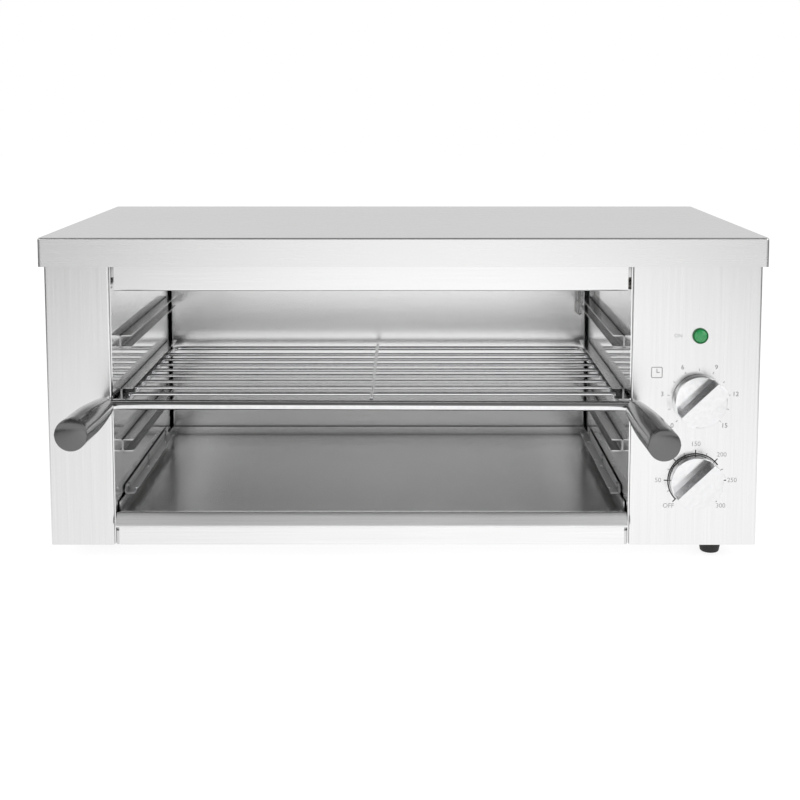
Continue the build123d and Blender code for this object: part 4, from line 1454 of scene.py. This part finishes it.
@dataclass
class CableGland(Assembly):
    """The nylon gland: a threaded tail, a hexagon flange and a ribbed dome nut, with an open bore.

    Attributes:
        bore: The bore's radius.
        lip: The bevelled edge of the bore.
        tail: The tail's radius.
        dome: The dome nut's radius.
        nut: The length of its straight side.
        flange: The hexagon's thickness.
        flange_edge: The hexagon's rounded edges.
        bend: The rounded edge of the dome nut.
        pitch: The distance between the tail's threads.
        thread: The threads' depth.
        sides: How many sides the round parts have.
        groove_every: How many sides of the dome nut there are to each groove.
        groove: The depth of the grooves.
        groove_inset: How far their floors stand in from the sides' edges.
    """

    bore: float = 4.2 * MM
    lip: float = 0.5 * MM
    tail: float = 8.0 * MM
    dome: float = 8.6 * MM
    nut: float = 4.2 * MM
    flange: float = 5.0 * MM
    flange_edge: float = 0.5 * MM
    bend: float = 2.4 * MM
    pitch: float = 1.5 * MM
    thread: float = 0.35 * MM
    sides: int = 54
    groove_every: int = 3
    groove: float = 0.45 * MM
    groove_inset: float = 0.08 * MM

    def build(self) -> None:
        """Makes the gland."""
        low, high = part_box("cable_gland")
        start = face_middle((low, high), FORWARD)
        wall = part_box("rear_panel")[1].y - low.y
        core = self.make_core(start, wall, high.y - low.y)
        flange = self.make_flange(start, wall, (high.z - low.z) / 2)
        gland = joined("cable_gland_moulded", [core, flange])
        fit(gland, self.finishes.get(Finishes.nylon), HOUSING, "gland_plastic", "cable_gland")

    def make_core(self, start: Vector, wall: float, length: float) -> bpy.types.Object:
        """Turns the tail and the dome nut, opens the bore and sinks the grooves.

        Args:
            start: The middle of the tail's end, inside the casing.
            wall: How far from there the back panel's face is.
            length: The whole length.

        Returns:
            The finished core.
        """
        root = self.tail - self.thread
        rings = [(0.0, self.bore), (0.0, root)]
        for turn in range(int((wall - self.pitch) / self.pitch)):
            rings += [((turn + 0.5) * self.pitch, self.tail), ((turn + 1.0) * self.pitch, root)]
        nut = wall + self.flange
        rings += [(nut, root), (nut, self.dome), (nut + self.nut, self.dome)]
        rings += rounded(length - self.bend, self.dome - self.bend, self.bend, 0.0, 80.0, 6)
        rings += [(length, self.bore + self.lip), (length - self.lip, self.bore)]
        core = Workpiece.turned("gland_core", start, BACKWARD, rings, self.sides)
        core.select(lambda face: len(face.verts) > 4)
        bpy.ops.mesh.delete(type="FACE")
        core.select(lambda edge: edge.is_boundary, "EDGE")
        bpy.ops.mesh.bridge_edge_loops()

        def in_groove(face: bmesh.types.BMFace) -> bool:
            """Whether a face of the dome nut's side is one of the grooves.

            Args:
                face: The face.

            Returns:
                Whether it is.
            """
            middle = face.calc_center_median() - start
            turn = math.floor(math.atan2(middle.z, middle.x) / math.tau * self.sides)
            on_side = nut < middle.y < nut + self.nut and math.hypot(middle.x, middle.z) > self.tail
            return on_side and abs(face.normal.y) < 0.5 and turn % self.groove_every == 0

        core.select(in_groove)
        bpy.ops.mesh.inset(thickness=self.groove_inset, depth=-self.groove, use_individual=True)
        return core.finish(40.0)

    def make_flange(self, start: Vector, wall: float, corner: float) -> bpy.types.Object:
        """Draws out the hexagon and rounds its edges.

        Args:
            start: The middle of the tail's end, inside the casing.
            wall: How far from there the back panel's face is.
            corner: The hexagon's radius over its corners.

        Returns:
            The finished flange.
        """
        rings = [(wall, corner), (wall + self.flange, corner)]
        flange = Workpiece.turned("gland_flange", start, BACKWARD, rings, 6)
        mesh = bmesh.from_edit_mesh(flange.object.data)
        if max(vertex.co.z for vertex in mesh.verts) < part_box("cable_gland")[1].z - 0.1 * MM:
            bpy.ops.mesh.select_all(action="SELECT")
            turn = math.radians(30.0)
            bpy.ops.transform.rotate(value=turn, orient_axis="Y", center_override=tuple(start))
        flange.select(lambda edge: True, "EDGE")
        bpy.ops.mesh.bevel(offset=self.flange_edge, segments=3, profile=0.5)
        return flange.finish(30.0)


# ---- studio -----------------------------------------------------------------------------------------


@dataclass(frozen=True)
class Lamp:
    """A square area lamp.

    Attributes:
        name: Its name.
        place: Where it stands.
        aim: The point that it faces.
        size: Its side.
        power: Its power in watts.
        mirrored: Whether what is shiny mirrors it.
    """

    name: str
    place: Triple
    aim: Triple
    size: float
    power: float
    mirrored: bool = True

    def add(self) -> None:
        """Adds the lamp."""
        deselect()
        bpy.ops.object.light_add(type="AREA", location=self.place)
        lamp = bpy.context.object
        lamp.name = self.name
        lamp.data.size = self.size
        lamp.data.energy = self.power
        facing = Vector(self.aim) - Vector(self.place)
        lamp.rotation_euler = facing.to_track_quat("-Z", "Y").to_euler()
        lamp.visible_glossy = self.mirrored


@dataclass
class Studio:
    """The floor, the lamps, the white surroundings and the camera.

    Attributes:
        floor_size: The floor's side.
        floor_matte: The floor's colour in the light that it gives back.
        floor_seen: Its colour in the picture, under its glow.
        floor_glow: The glow that lifts it to white there.
        depths: The directions, as sines, between which the surroundings go from their back to their front.
        sky_front: The surroundings' brightness at the horizon, on the camera's side.
        sky_back: Their brightness at the horizon behind the grill.
        heights: The heights, as sines, between which they dim.
        sky_high: The share of their brightness that is left overhead.
        dark_ahead: The directions, as sines, between which the dark on the camera's side starts.
        dark_heights: The heights, as sines, between which it starts.
        dark_sides: The sideways directions, as sines, between which the dark on the left eases.
        dark_right: The share of the dark that is left to the right of them.
        dark_level: The share of the light that the shiny pieces mirror there.
        pool_level: The brightness of the floor that the shiny pieces mirror.
        pool_place: The middle of that bright floor.
        pool_size: How far it reaches along X and Y.
        pool_behind: The Y at which it starts to fade behind the grill, and the Y at which it has faded.
        pool_faded: The share of its brightness that is left there.
        lamps: The lamps: overhead, in front to the left and in front to the right.
        lens: The camera's focal length in millimetres.
        sensor: The width of its sensor in millimetres.
        shift: The camera's shift, sideways and upward.
        tilt: The camera's downward tilt in degrees.
        camera_place: The camera's X, its distance from the body's front, and its height.
    """

    floor_size: float = 14.0
    floor_matte: float = 0.86
    floor_seen: float = 0.32
    floor_glow: float = 0.82
    depths: Span = (-0.6, 0.6)
    sky_front: float = 0.95
    sky_back: float = 0.71
    heights: Span = (0.3, 0.9)
    sky_high: float = 0.6
    dark_ahead: Span = (0.0, 0.2)
    dark_heights: Span = (0.14, 0.2)
    dark_sides: Span = (-0.2, 0.02)
    dark_right: float = 0.78
    dark_level: float = 0.1
    pool_level: float = 1.2
    pool_place: Span = (0.11, -2.4)
    pool_size: Span = (0.8, 4.2)
    pool_behind: Span = (0.1, 0.8)
    pool_faded: float = 0.35
    lamps: tuple[Lamp, ...] = (
        Lamp("lamp_overhead", (0.0, -0.3, 2.2), (0.0, 0.0, 0.0), 2.4, 14.0, mirrored=False),
        Lamp("lamp_front_left", (-1.9, -2.0, 1.5), (0.0, 0.0, 0.15), 1.6, 11.0),
        Lamp("lamp_front_right", (2.1, -1.8, 1.3), (0.0, 0.0, 0.15), 1.6, 15.0),
    )
    lens: float = 59.184
    sensor: float = 36.0
    shift: Span = (-0.009, -0.215)
    tilt: float = 5.872
    camera_place: Triple = (0.0032, 1.091, 0.400)

    def build(self) -> None:
        """Makes everything around the grill."""
        self.make_world()
        self.make_floor()
        for lamp in self.lamps:
            lamp.add()
        self.make_camera()
        bpy.context.scene.view_settings.view_transform = "Standard"

    def make_world(self) -> None:
        """White to the camera; to everything else a soft room with a dark patch on the camera's side."""
        bpy.context.scene.world = bpy.data.worlds.new("studio_world")
        bench = NodeBench(bpy.context.scene.world)
        path = bench.add("ShaderNodeLightPath").outputs
        place = bench.add("ShaderNodeTexCoord").outputs["Generated"]
        side, back, height = bench.add("ShaderNodeSeparateXYZ", {0: place}).outputs
        depth = bench.math("MULTIPLY", back, -1.0)
        horizon = bench.eased(depth, self.depths, (self.sky_back, self.sky_front))
        overhead = bench.eased(height, self.heights, (1.0, self.sky_high))
        above = bench.eased(height, self.dark_heights, (0.0, 1.0))
        beside = bench.eased(side, self.dark_sides, (1.0, self.dark_right))
        ahead = bench.eased(depth, self.dark_ahead, (0.0, 1.0))
        dark = bench.product(above, bench.product(beside, ahead), path["Is Glossy Ray"])
        left = bench.eased(dark, (0.0, 1.0), (1.0, self.dark_level))
        strength = bench.product(horizon, overhead, left)
        room = bench.first("ShaderNodeBackground", {"Color": WHITE, "Strength": strength})
        white = bench.first("ShaderNodeBackground", {"Color": WHITE})
        bench.show(bench.first("ShaderNodeMixShader", {0: path["Is Camera Ray"], 1: room, 2: white}))

    def make_floor(self) -> None:
        """A white floor that keeps the grill's shadow, and looks brightest ahead of it to what is shiny."""
        deselect()
        bpy.ops.mesh.primitive_plane_add(size=self.floor_size, location=(0.0, 0.0, 0.0))
        floor = bpy.context.object
        floor.name = "studio_floor"
        bench = NodeBench(bpy.data.materials.new("floor_white"))
        path = bench.add("ShaderNodeLightPath").outputs
        greys = ((grey, grey, grey, 1.0) for grey in (self.floor_matte, self.floor_seen))
        matte, paper = (bench.first("ShaderNodeBsdfDiffuse", {"Color": grey}) for grey in greys)
        glow = bench.first("ShaderNodeEmission", {"Strength": self.floor_glow})
        pool = bench.first("ShaderNodeEmission", {"Strength": self.pool_strength(bench)})
        mirrored = bench.first("ShaderNodeMixShader", {0: path["Is Glossy Ray"], 1: matte, 2: pool})
        seen = bench.math("MAXIMUM", path["Is Camera Ray"], path["Is Transmission Ray"])
        lit = bench.first("ShaderNodeAddShader", {0: paper, 1: glow})
        bench.show(bench.first("ShaderNodeMixShader", {0: seen, 1: mirrored, 2: lit}))
        floor.data.materials.append(bench.owner)

    def pool_strength(self, bench: NodeBench) -> Socket:
        """The brightness of the mirrored floor: a soft round pool.

        Args:
            bench: The floor's material.

        Returns:
            The brightness.
        """
        place = bench.add("ShaderNodeTexCoord").outputs["Object"]
        middle = (*self.pool_place, 0.0)
        scale = (1.0 / self.pool_size[0], 1.0 / self.pool_size[1], 0.0)
        centred = bench.first("ShaderNodeVectorMath", {0: place, 1: middle}, operation="SUBTRACT")
        sized = bench.first("ShaderNodeVectorMath", {0: centred, 1: scale}, operation="MULTIPLY")
        square = bench.add("ShaderNodeVectorMath", {0: sized, 1: sized}, operation="DOT_PRODUCT")
        bell = bench.math("EXPONENT", bench.math("MULTIPLY", square.outputs["Value"], -0.5))
        levels = (self.pool_level, self.pool_level * self.pool_faded)
        return bench.product(bell, bench.eased(bench.place("Y"), self.pool_behind, levels))

    def make_camera(self) -> None:
        """The camera at the photograph's viewing angle."""
        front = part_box("left_side_casing")[0].y
        x, distance, height = self.camera_place
        deselect()
        bpy.ops.object.camera_add(location=(x, front - distance, height))
        camera = bpy.context.object
        camera.name = "photo_camera"
        camera.rotation_euler = (math.radians(90.0 - self.tilt), 0.0, 0.0)
        camera.data.sensor_width = self.sensor
        camera.data.lens = self.lens
        camera.data.shift_x, camera.data.shift_y = self.shift
        bpy.context.scene.camera = camera


def main() -> None:
    """Builds the scene and reports each piece."""
    logging.basicConfig(level=logging.INFO, format="%(message)s")
    finishes = Finishes()
    Studio().build()
    dress_nodes(finishes)
    for assembly in (RackGrips, ControlKnobs, PilotLamp, DialPrints, Feet, RearScrews, CableGland):
        assembly(finishes).build()


if __name__ == "__main__":
    main()
